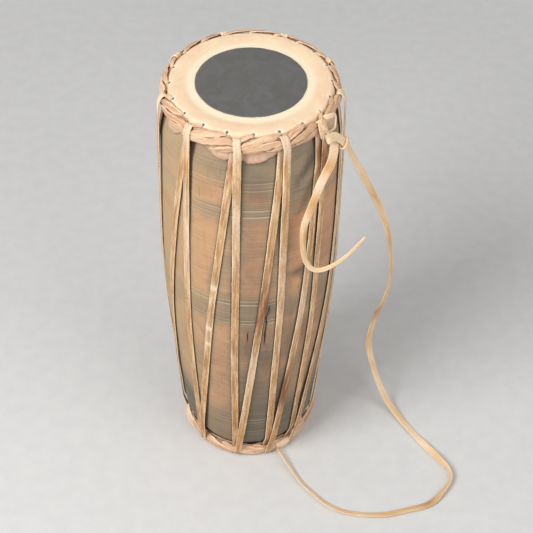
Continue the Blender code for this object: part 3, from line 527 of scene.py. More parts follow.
class DrumEnd:
    """One end of the drum: the shell's edge, and the skins, rope and laces that are fitted to it.

    The radii are those of the edge, bore, opening and paste. The seat has a slope and a depth, the neck a
    depth, radius and slope, and a strand of the rope its two half sizes and its place along the seat.
    """

    def __init__(self, name, up, face_z, radii, seat, neck, strand, hem, laces, ring, strips):
        self.name, self.up, self.face_z = name, up, face_z
        self.hem, self.laces, self.ring = hem, laces, ring
        self.end_radius, self.bore, self.opening, self.paste = radii
        self.seat_slope, self.seat_depth = seat
        self.neck = neck
        self.lean = math.atan(self.seat_slope)
        self.round_radius = self.end_radius - BEARING_ROUND * (1 - math.sin(self.lean)) / math.cos(self.lean)
        self.belly_depth = abs(face_z - BELLY_Z)
        thick, wide, self.rope_along = strand
        self.rope_half = (thick + STRAND_CLEARANCE / 2, wide + STRAND_CLEARANCE)
        self.rope_out = LACE_OUT + self.wrap_half(LACE_THICKNESS)[0]
        self.strip_span, self.strip_width, *self.strip_places = strips

    def side(self, out, along):
        """Radius and height of a point this far out from the seat and along it from the face."""
        radius = self.end_radius + along * math.sin(self.lean) + out * math.cos(self.lean)
        height = self.face_z + self.up * (out * math.sin(self.lean) - along * math.cos(self.lean))
        return radius, height

    def wrap_half(self, thickness):
        """Half sizes, out and along, of the oval that a band this thick follows round the rope."""
        around = WRAP_CLEARANCE + thickness / 2
        return self.rope_half[0] + around, self.rope_half[1] + around + BIGHT_RELIEF

    def wrap(self, thickness, turn):
        """Point of that oval: 0 is straight out, a quarter turn is towards the drum's end."""
        half_out, half_along = self.wrap_half(thickness)
        return self.side(self.rope_out + half_out * np.cos(turn), self.rope_along - half_along * np.sin(turn))

    def widest_turn(self):
        """Turn at which a lace round the rope is farthest from the drum's axis."""
        half_out, half_along = self.wrap_half(LACE_THICKNESS)
        return -math.atan(self.seat_slope * half_along / half_out)

    def shell_radius(self, depth):
        """Outside radius of the shell at this depth below the end's face."""
        on_seat = self.end_radius + depth * self.seat_slope
        seat_radius = self.end_radius + self.seat_depth * self.seat_slope
        on_neck = hermite(depth, self.seat_depth, seat_radius, self.seat_slope, *self.neck)
        on_barrel = hermite(depth, *self.neck, self.belly_depth, BELLY_RADIUS, 0.0)
        below_seat = np.where(depth <= self.neck[0], on_neck, on_barrel)
        return np.where(depth <= self.seat_depth, on_seat, below_seat)

    def bore_radius(self, depth):
        """Inside radius of the shell at this depth below the end's face."""
        slope = 1.5 * (BELLY_BORE - self.bore) / self.belly_depth
        return hermite(depth, 0.0, self.bore, slope, self.belly_depth, BELLY_BORE, 0.0)

    def edge(self, out, steps):
        """Radii and heights round the bearing edge, this far off the shell, from face to seat."""
        angle = np.linspace(np.pi / 2, self.lean, steps)
        lift = (BEARING_ROUND + out) * np.sin(angle) - BEARING_ROUND
        return self.round_radius + (BEARING_ROUND + out) * np.cos(angle), self.face_z + self.up * lift

    def lace_pull(self, angle, half_width=LACE_PULL):
        """How near these angles are to a lace: 1 under its middle."""
        near = [bell(np.degrees(apart(angle, math.radians(lace))), 0, half_width) for lace in self.laces]
        return np.max(near, axis=0)


UPPER = DrumEnd("upper", 1, SHELL_TOP, (0.0718, 0.0635, 0.0556, 0.0500), (0.30, 0.017),
                (0.040, 0.0820, 0.045), (0.0020, 0.0059, 0.0098),
                UPPER_HEM, LOOP_ANGLES, UPPER_RING, UPPER_STRIPS)
LOWER = DrumEnd("lower", -1, SHELL_BOTTOM, (0.0558, 0.0490, 0.0420, 0.0370), (0.34, 0.014),
                (0.038, 0.0702, 0.075), (0.0018, 0.0044, 0.0084),
                LOWER_HEM, TURN_ANGLES, LOWER_RING, LOWER_STRIPS)


class Piece:
    """Points, faces and surface values of one piece, gathered from closed grids."""

    def __init__(self):
        self.points, self.faces, self.values, self.count = [], [], {}, 0

    def add_grid(self, grid, loop=False, **values):
        """Closed body from rows of points, each row a ring; the rows form a loop or are capped."""
        rows, columns = grid.shape[:2]
        index = np.arange(rows * columns).reshape(rows, columns)
        after = np.roll(index, -1, 1)
        here = slice(None) if loop else slice(None, -1)
        corners = index, after, np.roll(after, -1, 0), np.roll(index, -1, 0)
        quads = np.stack([corner[here] for corner in corners], axis=-1).reshape(-1, 4)
        flat = grid.reshape(-1, 3)
        a, b, c, d = (flat[quads[:, k]] for k in range(4))
        volume = np.einsum("ij,ij->", a, np.cross(b, c)) + np.einsum("ij,ij->", a, np.cross(c, d))
        faces = (quads + self.count).tolist()
        if not loop:
            faces += [(index[0][::-1] + self.count).tolist(), (index[-1] + self.count).tolist()]
        self.faces += [face[::-1] for face in faces] if volume < 0 else faces
        self.points.append(flat)
        for key, value in values.items():
            shape = (rows, columns, 3) if key == "flow" else (rows, columns)
            self.values.setdefault(key, []).append(np.broadcast_to(value, shape).reshape(len(flat), -1))
        self.count += len(flat)
        return self

    def add_strip(self, grid, distance, reach, seed, over, closed=False, amber=0.0, bleach=0.0, dark=0.0):
        """Strip of hide with its flow (distances along and across it) and its marks along it."""
        flow = np.stack(np.broadcast_arrays(distance, reach, seed * FLOW_SHIFT), axis=-1)
        marks = {"amber": amber, "bleach": bleach, "dark": dark}
        marks = {key: np.broadcast_to(mark, len(grid))[:, None] for key, mark in marks.items()}
        return self.add_grid(grid, closed, flow=flow, across=over, **marks)

    def add_band(self, path, across, widths, thickness, seed, closed=False, curl=0.0, ragged=0.03,
                 wrinkle=0.00006, **marks):
        """Flat strip along a path; across gives the direction of its width at each point."""
        along, distance = travel(path, closed)
        wide = unit(across - along * np.sum(across * along, axis=1, keepdims=True))
        normal = np.cross(along, wide)
        turn = turns(SECTION_POINTS)
        over, through = flattened(np.cos(turn), 0.55), flattened(np.sin(turn), 0.75)
        pitch = 2 * np.pi / (distance[-1] if closed else 0.021)
        left, right, body = (waves(distance, 3 * seed + k, pitch)[:, None] for k in range(3))
        distance = distance[:, None]
        half = np.broadcast_to(widths, len(path))[:, None] / 2
        reach = half * over * (1 + ragged * np.where(over > 0, left, right))
        depth = thickness / 2 * through * (1 + 2 * ragged * body) + curl * (over**2 - 0.4)
        depth = depth + wrinkle * through * wrinkles(distance, over, seed, pitch)
        grid = path[:, None] + wide[:, None] * reach[..., None] + normal[:, None] * depth[..., None]
        return self.add_strip(grid, distance, reach, seed, over, closed, **marks)

    def finish(self, name, paint, slot, *nodes):
        """Object of this piece, riding on the drum in place of these nodes, or of the node of its name."""
        mesh = bpy.data.meshes.new(name + "_look")
        mesh.from_pydata(np.vstack(self.points), [], self.faces)
        for key, value in self.values.items():
            value = np.vstack(value).astype(np.float32)
            kind, field = ("FLOAT_VECTOR", "vector") if value.shape[1] == 3 else ("FLOAT", "value")
            mesh.attributes.new(key, kind, "POINT").data.foreach_set(field, value.ravel())
        mesh.materials.append(paint)
        mesh.shade_smooth()
        piece = bpy.data.objects.new(name + "_look", mesh)
        bpy.context.scene.collection.objects.link(piece)
        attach(piece, "root")
        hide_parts(*(nodes or [name]))
        return piece


class Nodes:
    """Node tree, with short calls for the nodes it uses."""

    def __init__(self, tree):
        self.tree = tree

    def put(self, node, inputs):
        """Inputs of a node set; each is a value or another node's output."""
        for key, value in inputs.items():
            if isinstance(value, bpy.types.NodeSocket):
                self.tree.links.new(value, node.inputs[key])
            else:
                node.inputs[key].default_value = value

    def node(self, kind, inputs, **settings):
        """New node with these settings and inputs."""
        node = self.tree.nodes.new("ShaderNode" + kind)
        for key, value in settings.items():
            setattr(node, key, value)
        self.put(node, inputs)
        return node

    def math(self, operation, a, b=0.0):
        """Two numbers added, multiplied or otherwise put together."""
        return self.node("Math", {0: a, 1: b}, operation=operation).outputs[0]

    def seen(self):
        """1 for rays that look at a surface, straight or by gloss or glass, and 0 for those that light it."""
        rays = self.node("LightPath", {}).outputs
        seen = self.math("MAXIMUM", rays["Is Camera Ray"], rays["Is Glossy Ray"])
        return self.math("MAXIMUM", seen, rays["Is Transmission Ray"])


class Paint(Nodes):
    """Nodes of one material, with its colour and surface so far."""

    def __init__(self, name, specular):
        self.material = bpy.data.materials.new(name)
        self.material.use_nodes = True
        super().__init__(self.material.node_tree)
        self.shader = self.tree.nodes["Principled BSDF"]
        self.shader.inputs["Specular IOR Level"].default_value = specular
        self.place = self.node("TexCoord", {}).outputs["Object"]
        self.colour = self.normal = None

    def value(self, name, output="Fac"):
        """Value that the mesh holds under this name."""
        return self.node("Attribute", {}, attribute_name=name).outputs[output]

    def stretched(self, vector, *scales):
        """Vector multiplied by a scale for each axis."""
        return self.node("VectorMath", {0: vector, 1: scales}, operation="MULTIPLY").outputs[0]

    def radius(self):
        """Distance from the drum's axis."""
        flat = self.stretched(self.place, 1, 1, 0)
        return self.node("VectorMath", {0: flat}, operation="LENGTH").outputs["Value"]

    def noise(self, vector, scale, detail=4.0, roughness=0.55, distortion=0.0):
        """Cloudy noise between 0 and 1."""
        inputs = {"Vector": vector, "Scale": scale, "Detail": detail, "Roughness": roughness,
                  "Distortion": distortion}
        return self.node("TexNoise", inputs).outputs["Fac"]

    def ramp(self, value, low, high, start=0.0, stop=1.0):
        """Smooth step from start where a value is low to stop where it is high."""
        inputs = {"Value": value, "From Min": low, "From Max": high, "To Min": start, "To Max": stop}
        return self.node("MapRange", inputs, interpolation_type="SMOOTHSTEP").outputs["Result"]

    def patchy(self, name, noise, low, high, start):
        """Value of the mesh, weaker in some places than in others."""
        return self.math("MULTIPLY", self.value(name), self.ramp(noise, low, high, start, 1.0))

    def mix(self, factor, a, b):
        """Two colours mixed; a colour is three numbers or another node's output."""
        a, b = (c if isinstance(c, bpy.types.NodeSocket) else (*c, 1.0) for c in (a, b))
        return self.node("Mix", {0: factor, 6: a, 7: b}, data_type="RGBA").outputs[2]

    def cover(self, factor, colour):
        """Colour laid over the paint so far."""
        self.colour = self.mix(factor, self.colour, colour)

    def tint(self, colour, *ramp):
        """Colour laid over the paint so far as strongly as a ramp says."""
        self.cover(self.ramp(*ramp), colour)

    def bump(self, height, distance, strength):
        """Roughness added to the surface so far."""
        inputs = {"Height": height, "Distance": distance, "Strength": strength}
        if self.normal is not None:
            inputs["Normal"] = self.normal
        self.normal = self.node("Bump", inputs).outputs["Normal"]

    def done(self, roughness):
        """Material with the colour and surface so far."""
        self.put(self.shader, {"Base Color": self.colour, "Normal": self.normal, "Roughness": roughness})
        return self.material


def hide_paint(name):
    """Rawhide strip: long streaks of tone, pale worn edges, fibres, stains, bleached spots and painted shade
    at its edges.
    """
    pale, tan, brown, edge_share, streak_share, blotch_size, edge_shade = HIDES[name]
    paint = Paint(name + "_hide_look", 0.35)
    flow = paint.value("flow", "Vector")
    across = paint.math("ABSOLUTE", paint.value("across"))
    cloud = paint.noise(paint.stretched(flow, 1, 1.6, 1), 1 / blotch_size, 3)
    streak = paint.noise(paint.stretched(flow, 0.085, 1, 1), 420, 3, 0.55, 0.2)
    mottle = paint.noise(paint.stretched(flow, 0.45, 1, 1), 560, 3, 0.6)
    fibre = paint.noise(paint.stretched(flow, 0.08, 1, 1), 1500, 3)
    grain = paint.noise(flow, 900, 5, 0.65)
    speck = paint.noise(flow, 520, 2)
    dark = paint.patchy("dark", streak, 0.3, 0.6, 0.5)
    worn = paint.math("MULTIPLY", paint.ramp(speck, 0.3, 0.5, 0.3), paint.ramp(dark, 0.2, 0.9, 1.0, 0.15))
    paint.colour = paint.mix(paint.ramp(cloud, 0.36, 0.62), tan, pale)
    paint.cover(paint.patchy("amber", streak, 0.25, 0.6, 0.5), AMBER)
    paint.tint(brown, streak, 0.46, 0.63, 0, streak_share)
    paint.tint(PALE_STREAK, streak, 0.46, 0.33, 0, 0.6)
    paint.tint(brown, mottle, 0.53, 0.68, 0, 0.45)
    paint.tint(brown, fibre, 0.45, 0.75, 0, 0.30)
    paint.tint(brown, across, 0.15, 0.65, 0.3 * edge_share, 0)
    # Dark marks: stains, and painted shade under the knot and on the rope rings' hidden core strip
    paint.cover(dark, DARK_STAIN_AND_SHADE)
    paint.cover(paint.patchy("bleach", grain, 0.38, 0.58, 0.35), BLEACHED)
    paint.cover(paint.math("MULTIPLY", paint.ramp(across, 0.76, 0.93, 0, edge_share), worn), WORN_EDGE)
    paint.tint(brown, speck, 0.64, 0.75, 0, 0.5)
    # Painted shade along the strip's edges, where the rope's strips meet
    paint.tint(EDGE_SHADE, across, 0.95, 1.0, 0, edge_shade)
    paint.bump(fibre, 0.0004, 0.6)
    paint.bump(grain, 0.0005, 0.6)
    return paint.done(paint.ramp(cloud, 0.3, 0.7, 0.5, 0.72))


def skin_paint(name, opening, cream):
    """Drum skin: cream near its opening, then peach with pink clouds, pores, pale halos at the holes and
    painted shade in them.
    """
    paint = Paint(name, 0.3)
    cloud = paint.noise(paint.place, 38, 4, 0.6, 0.4)
    fine = paint.noise(paint.place, 210, 4, 0.6)
    pores = paint.noise(paint.place, 1500, 3)
    wander = paint.math("ADD", paint.radius(), paint.ramp(fine, 0.2, 0.8, -0.0012, 0.0012))
    paint.colour = paint.mix(paint.ramp(cloud, 0.38, 0.66), SKIN_PEACH, SKIN_PINK)
    paint.tint(SKIN_PALE, fine, 0.45, 0.75, 0, 0.6)
    paint.tint(SKIN_CREAM, wander, opening + cream[0], opening + cream[1], 1, 0)
    paint.cover(paint.value("hem"), paint.mix(paint.ramp(fine, 0.40, 0.62), HEM_DIRT, HEM_DARK))
    paint.cover(paint.value("halo"), HOLE_HALO)
    paint.tint(SKIN_PORES, pores, 0.62, 0.8, 0, 0.35)
    # Painted shade inside the stitch holes
    paint.cover(paint.value("pit"), HOLE_SHADE)
    paint.bump(fine, 0.0006, 0.5)
    paint.bump(pores, 0.0003, 0.5)
    return paint.done(paint.ramp(cloud, 0.3, 0.7, 0.5, 0.68))


def paste_paint():
    """Dried tuning paste: warm dark grey, partly painted sheen, rubbed in faint rings and swirls."""
    paint = Paint("tuning_paste_look", 0.4)
    swirl = paint.noise(paint.place, 42, 5, 0.6, 1.6)
    turned = paint.node("CombineXYZ", {"X": paint.radius(), "Y": paint.ramp(swirl, 0.2, 0.8, 0, 0.004)})
    rings = paint.noise(turned.outputs[0], 420, 3)
    grain = paint.noise(paint.place, 1600, 3)
    paint.colour = paint.mix(paint.ramp(swirl, 0.35, 0.7), PASTE_WARM, PASTE_GREY)
    paint.tint(PASTE_RINGS, rings, 0.5, 0.72, 0, 0.35)
    paint.tint(PASTE_GRAIN, grain, 0.6, 0.8, 0, 0.5)
    paint.bump(rings, 0.0003, 0.35)
    paint.bump(grain, 0.00025, 0.5)
    return paint.done(paint.ramp(swirl, 0.3, 0.7, 0.52, 0.70))


def shell_paint():
    """Turned wood: grey-green stain worn to terracotta between the laces, tool lines, pale score lines,
    painted shade and painted light.
    """
    paint = Paint("shell_wood_look", 0.35)
    height = paint.node("SeparateXYZ", {0: paint.place}).outputs["Z"]
    lines = paint.noise(paint.stretched(paint.place, 16, 16, 820), 1.0, 3, 0.6)
    broad = paint.noise(paint.stretched(paint.place, 9, 9, 60), 1.0, 4, 0.6)
    streaks = paint.noise(paint.stretched(paint.place, 380, 380, 26), 1.0, 3, 0.6)
    cloud = paint.noise(paint.place, 26, 5, 0.62, 0.6)
    grain = paint.noise(paint.place, 850, 3)
    lace_gap = paint.value("lace_gap")
    # Wear of the stain, with less of it low on the shell as painted shade there
    worn = paint.math("ADD", paint.value("wear_and_low_shade"), paint.ramp(cloud, 0.3, 0.7, -0.30, 0.30))
    worn = paint.mix(worn, WOOD_DULL, WOOD_WORN)
    cover = paint.value("foot")
    paint.colour = paint.mix(paint.ramp(broad, 0.35, 0.65), STAIN_DARK, STAIN_PALE)
    # Stain at the foot, its colour darker than the stain itself as painted shade of the lower shell
    paint.cover(paint.math("MULTIPLY", cover, 0.9), FOOT_STAIN_AND_SHADE)
    for level, half_width, strength, shade in STAIN_BANDS:
        away = paint.math("ABSOLUTE", paint.math("SUBTRACT", height, level * MM))
        away = paint.math("ADD", away, paint.ramp(cloud, 0.25, 0.75, -0.008, 0.008))
        near = paint.ramp(away, 0.35 * half_width * MM, 1.3 * half_width * MM, 1, 0)
        cover = paint.math("MAXIMUM", cover, paint.math("MULTIPLY", near, strength))
        paint.cover(paint.math("MULTIPLY", near, shade), STAIN_BAND)
    cover = paint.math("MAXIMUM", cover, paint.value("head"))
    wander = paint.math("ADD", lace_gap, paint.ramp(cloud, 0.25, 0.75, -0.003, 0.003))
    cover = paint.math("MAXIMUM", cover, paint.ramp(wander, 0.0008, 0.0058, 0.65, 0))
    cover = paint.math("ADD", cover, paint.ramp(cloud, 0.55, 0.8, 0, 0.30))
    paint.colour = paint.mix(cover, worn, paint.colour)
    # Paler colour on the left: fading, and painted light where the lamp on that side falls
    paint.cover(paint.patchy("faded_and_lit", cloud, 0.3, 0.7, 0.6), WOOD_FADED_AND_LIT)
    paint.tint(TOOL_DARK, lines, 0.50, 0.72, 0, 0.26)
    paint.tint(TOOL_PALE, lines, 0.47, 0.25, 0, 0.28)
    paint.tint(WOOD_STREAKS, streaks, 0.56, 0.80, 0, 0.38)
    paint.tint(WOOD_GRAIN, grain, 0.60, 0.78, 0, 0.45)
    paint.cover(paint.patchy("score", broad, 0.35, 0.60, 0.25), SCORE_PALE)
    paint.cover(paint.math("MULTIPLY", paint.value("groove"), 0.62), SCORE_DARK)
    # Dark smudges, and the painted shadow of the strap's tail
    paint.cover(paint.value("smudge_and_shadow"), SMUDGE_AND_SHADOW_DARK)
    paint.tint(LACE_SHADE, lace_gap, 0.0002, 0.0016, 0.72, 0)
    # Painted shade inside the cracks
    paint.cover(paint.value("crack"), CRACK_SHADE)
    paint.bump(lines, 0.0007, 0.5)
    paint.bump(streaks, 0.0004, 0.4)
    return paint.done(paint.ramp(broad, 0.3, 0.7, 0.55, 0.72))


def shell_radius(z):
    """Outside radius of the shell at these heights."""
    return np.where(z > BELLY_Z, UPPER.shell_radius(SHELL_TOP - z), LOWER.shell_radius(z - SHELL_BOTTOM))


def lace_bed(z):
    """Radius of the middle of a lace that lies on the skins or on the shell."""
    lean = np.where(z > BELLY_Z, UPPER.lean, LOWER.lean)
    radius = shell_radius(z) + (GAP + LACE_THICKNESS / 2 + BED_CLEARANCE) / np.cos(lean)
    for end in (UPPER, LOWER):
        depth = np.abs(end.face_z - z)
        on_skin = end.end_radius + depth * end.seat_slope + LACE_OUT / math.cos(end.lean)
        radius = np.where(depth < COLLAR_LAP * math.cos(end.lean), on_skin, radius)
    return radius


# How far round the drum a taut leg has turned at each height, up to a scale
TURNING_Z = np.linspace(SHELL_BOTTOM, SHELL_TOP, 400)
TURNING_BED = lace_bed((TURNING_Z[1:] + TURNING_Z[:-1]) / 2)
TURNING = np.concatenate([[0], np.cumsum(np.diff(TURNING_Z) / TURNING_BED**2)])

# Heights inside the ropes, and radius and height of the outermost points on them
LOW_IN = float(LOWER.wrap(LACE_THICKNESS, math.pi)[1])
HIGH_IN = float(UPPER.wrap(LACE_THICKNESS, math.pi)[1])
LOW_OUT = LOWER.wrap(LACE_THICKNESS, LOWER.widest_turn())
HIGH_OUT = UPPER.wrap(LACE_THICKNESS, UPPER.widest_turn())


def leg_angle(z, leg):
    """Angle of a taut leg at these heights; a leg is the (height, angle) of its foot and of its head."""
    (foot_z, foot_angle), (head_z, head_angle) = leg
    here, foot, head = (np.interp(x, TURNING_Z, TURNING) for x in (z, foot_z, head_z))
    return foot_angle + (head_angle - foot_angle) * (here - foot) / (head - foot)


def outer_hull(z, radius):
    """Taut line over the outside of supports at these heights and radii."""
    hull = []
    order = np.argsort(z)
    for point in zip(z[order], radius[order]):
        while len(hull) > 1:
            (z0, r0), (z1, r1) = hull[-2:]
            if (r1 - r0) * (point[0] - z0) > (point[1] - r0) * (z1 - z0):
                break
            hull.pop()
        hull.append(point)
    heights, radii = np.array(hull).T
    return lambda at: np.interp(at, heights, radii)


def legs_of(index):
    """Front and back leg of a lace loop, and the front leg of the loop before."""
    back_by = 2 * math.pi if index == 0 else 0.0
    loop, turn = math.radians(LOOP_ANGLES[index]), math.radians(TURN_ANGLES[index])
    last_loop = math.radians(LOOP_ANGLES[index - 1]) - back_by
    last_turn = math.radians(TURN_ANGLES[index - 1]) - back_by
    front = (LOW_IN, turn - LEG_SIDESTEP), (HIGH_OUT[1], loop + LEG_SIDESTEP)
    back = (LOW_OUT[1], last_turn + LEG_SIDESTEP), (HIGH_IN, loop - LEG_SIDESTEP)
    last_front = (LOW_IN, last_turn - LEG_SIDESTEP), (HIGH_OUT[1], last_loop + LEG_SIDESTEP)
    return front, back, last_front


def lace_path(index):
    """Middle line of a lace loop, and the leg that each point is on."""
    front, back, last_front = legs_of(index)
    z = np.linspace(LOW_IN, HIGH_IN, 400)
    bed = outer_hull(z, lace_bed(z))
    between = np.linspace(LOW_OUT[1], HIGH_OUT[1], 400)[1:-1]
    reach = (LACE_WIDTH + GAP) / bed(between)
    angles = [leg_angle(between, leg) for leg in (front, back, last_front)]
    over_back = (between > BELLY_Z) & (np.abs(angles[0] - angles[1]) < reach)
    over_front = (between < BELLY_Z) & (np.abs(angles[1] - angles[2]) < reach)
    up = np.linspace(LOW_IN + LACE_START, HIGH_OUT[1], LEG_POINTS)[:-1]
    down = np.linspace(HIGH_IN, LOW_OUT[1], LEG_POINTS)[1:-1]
    low, high = np.linspace(LOW_IN, LOW_OUT[1], 20), np.linspace(HIGH_OUT[1], HIGH_IN, 20)
    share = np.linspace(0, 1, BIGHT_POINTS)
    path = []
    for end, leg, over, z, rim, inside, start, stop, seed in (
            (UPPER, front, over_back, up, HIGH_OUT, low, front[1][1], back[1][1], 40),
            (LOWER, back, over_front, down, LOW_OUT, high, back[0][1], last_front[0][1], 60)):
        line = outer_hull(np.concatenate([[rim[1]], between, inside]),
                          np.concatenate([[rim[0]], bed(between) + LACE_LIFT * over, bed(inside)]))
        sway = LACE_SWAY * np.sin(np.pi * (z - z[0]) / (z[-1] - z[0])) * waves(z, seed + index, 9, 4)
        path.append(polar(leg_angle(z, leg) + sway / line(z), line(z), z))
        first = end.widest_turn()
        place = end.wrap(LACE_THICKNESS, first + (np.pi - first) * share)
        path.append(polar(start + (stop - start) * share, *place))
    return np.vstack(path), np.repeat(["front", "top", "back", "foot"], [len(part) for part in path])


def add_marks(marks, place, rows, where=1):
    """Marks of a strip with these rows (place, half length, kind, strength) added."""
    for centre, half_length, kind, strength in rows:
        mark = strength * bell(place, centre * MM, half_length * MM) * where
        marks[kind] = np.maximum(marks[kind], mark)


def make_lace(index, paint):
    """One loop of the lacing."""
    path, leg = lace_path(index)
    z = path[:, 2]
    low = blend(z, *LACE_DARK_FOOT)
    amber = 0.16 + 0.16 * waves(z, 80 + index, 14) + low * (0.38 + 0.35 * waves(z, 90 + index, 40))
    marks = {"amber": amber * (leg != "top"), "bleach": 0.75 * blend(z, *LACE_PALE_HEAD),
             "dark": low * np.maximum(0.40 * waves(z, 95 + index, 55), 0)}
    for side in ("front", "back"):
        add_marks(marks, z, LACE_MARKS.get((index, side), ()), leg == side)
    across = sideways(np.arctan2(path[:, 0], -path[:, 1]))
    widths = LACE_WORN_WIDTH * (1 + 0.05 * waves(z, 20 + index, 30, 4))
    piece = Piece().add_band(path, across, widths, LACE_THICKNESS, 100 + index, curl=0.0002, ragged=0.045,
                             **marks)
    piece.finish(f"lace_loop_{index + 1:02d}", paint, "lace_hide")


def make_shell(paint):
    """Shell with its score lines and cracks, and its bore."""
    heights = [np.linspace(SHELL_BOTTOM + BEARING_ROUND, SHELL_TOP - BEARING_ROUND, SHELL_ROWS)]
    heights += [line * MM + SCORE_HALF_WIDTH * np.linspace(-2.4, 2.4, 11) for line, strength in SCORE_LINES]
    crack_angles = [math.radians(angle) for points, width in CRACKS for angle, height in points]
    columns = near_columns(SHELL_COLUMNS, crack_angles, 1.1, 9)
    rows = np.unique(np.round(np.concatenate(heights), 6))[::-1]
    z, angle = np.meshgrid(rows, columns, indexing="ij")
    radius = shell_radius(z) + 0.00025 * waves(angle, 5, 1, 6) * np.cos(9 * z) + 0.00012 * waves(z, 6, 55, 6)
    score = groove = crack = smudge_and_shadow = 0 * z
    kept = round_values(angle, SCORE_KEPT)
    for line, strength in SCORE_LINES:
        shown = strength * kept
        dip = shown * bell(z, line * MM, 0.6 * SCORE_HALF_WIDTH)
        pale = shown * bell(z, line * MM - 1.1 * SCORE_HALF_WIDTH, 0.7 * SCORE_HALF_WIDTH)
        radius = radius - SCORE_DEPTH * dip
        score, groove = np.maximum(score, pale), np.maximum(groove, dip)
    for points, half_width in CRACKS:
        line_angles, line_heights = np.array(points)[::-1].T * ((1,), (MM,))
        centre = np.radians(np.interp(z, line_heights, line_angles)) + 0.004 * waves(z, 9, 160, 4)
        low, high = line_heights[0], line_heights[-1]
        ends = blend(z, low - 0.001, low + 0.006) * blend(z, high + 0.001, high - 0.006)
        ragged = half_width * MM * (1 + 0.35 * waves(z, 12, 420, 4))
        crack = np.maximum(crack, bell(apart(angle, centre) * radius, 0, ragged) * ends)
    radius = radius - CRACK_DEPTH * crack
    lace_gap = 0 * z + FAR
    for index in range(len(LOOP_ANGLES)):
        for leg in legs_of(index)[:2]:
            lace_gap = np.minimum(lace_gap, apart(angle, leg_angle(z, leg)) * radius - LACE_WORN_WIDTH / 2)
    for place, height, half_angle, half_height, strength in SMUDGES_AND_SHADOWS:
        there = bell(np.degrees(apart(angle, math.radians(place))), 0, half_angle)
        smudge_and_shadow = np.maximum(smudge_and_shadow, strength * there * bell(z, height * MM, half_height * MM))
    # Wear round the drum, lessened below 0.30 m as painted shade of the lower shell
    wear_and_low_shade = round_values(angle, WEAR) * (0.62 + 0.38 * blend(z, 0.15, 0.30))
    foot = blend(z, MM * round_values(angle, FOOT_STAIN), FOOT_WHOLE) * round_values(angle, FOOT_KEPT)
    head_from = MM * round_values(angle, HEAD_STAIN)
    values = {"score": score, "groove": groove, "crack": crack, "wear_and_low_shade": wear_and_low_shade, "smudge_and_shadow": smudge_and_shadow, "foot": foot,
              "head": 0.9 * blend(z, head_from - HEAD_BLUR, head_from + HEAD_BLUR),
              "faded_and_lit": round_values(angle, FADING_AND_LEFT_LIGHT) * (1 - foot)}
    top, low = ([polar(columns, *place) for place in zip(*end.edge(0.0, 6))][:-1] for end in (UPPER, LOWER))
    low = low[::-1]
    for end, shares in ((LOWER, np.linspace(0, 1, 8)), (UPPER, np.linspace(1, 0, 8)[1:])):
        for depth in shares * end.belly_depth:
            low.append(polar(columns, end.bore_radius(depth), end.face_z - end.up * depth))
    pad = [(len(top), len(low)), (0, 0)]
    values = {key: np.pad(value, pad) for key, value in values.items()}
    values["lace_gap"] = np.pad(lace_gap, pad, constant_values=FAR)
    grid = np.concatenate([top, polar(angle, radius, z), low])
    Piece().add_grid(grid, True, **values).finish("shell", paint, "shell_wood")


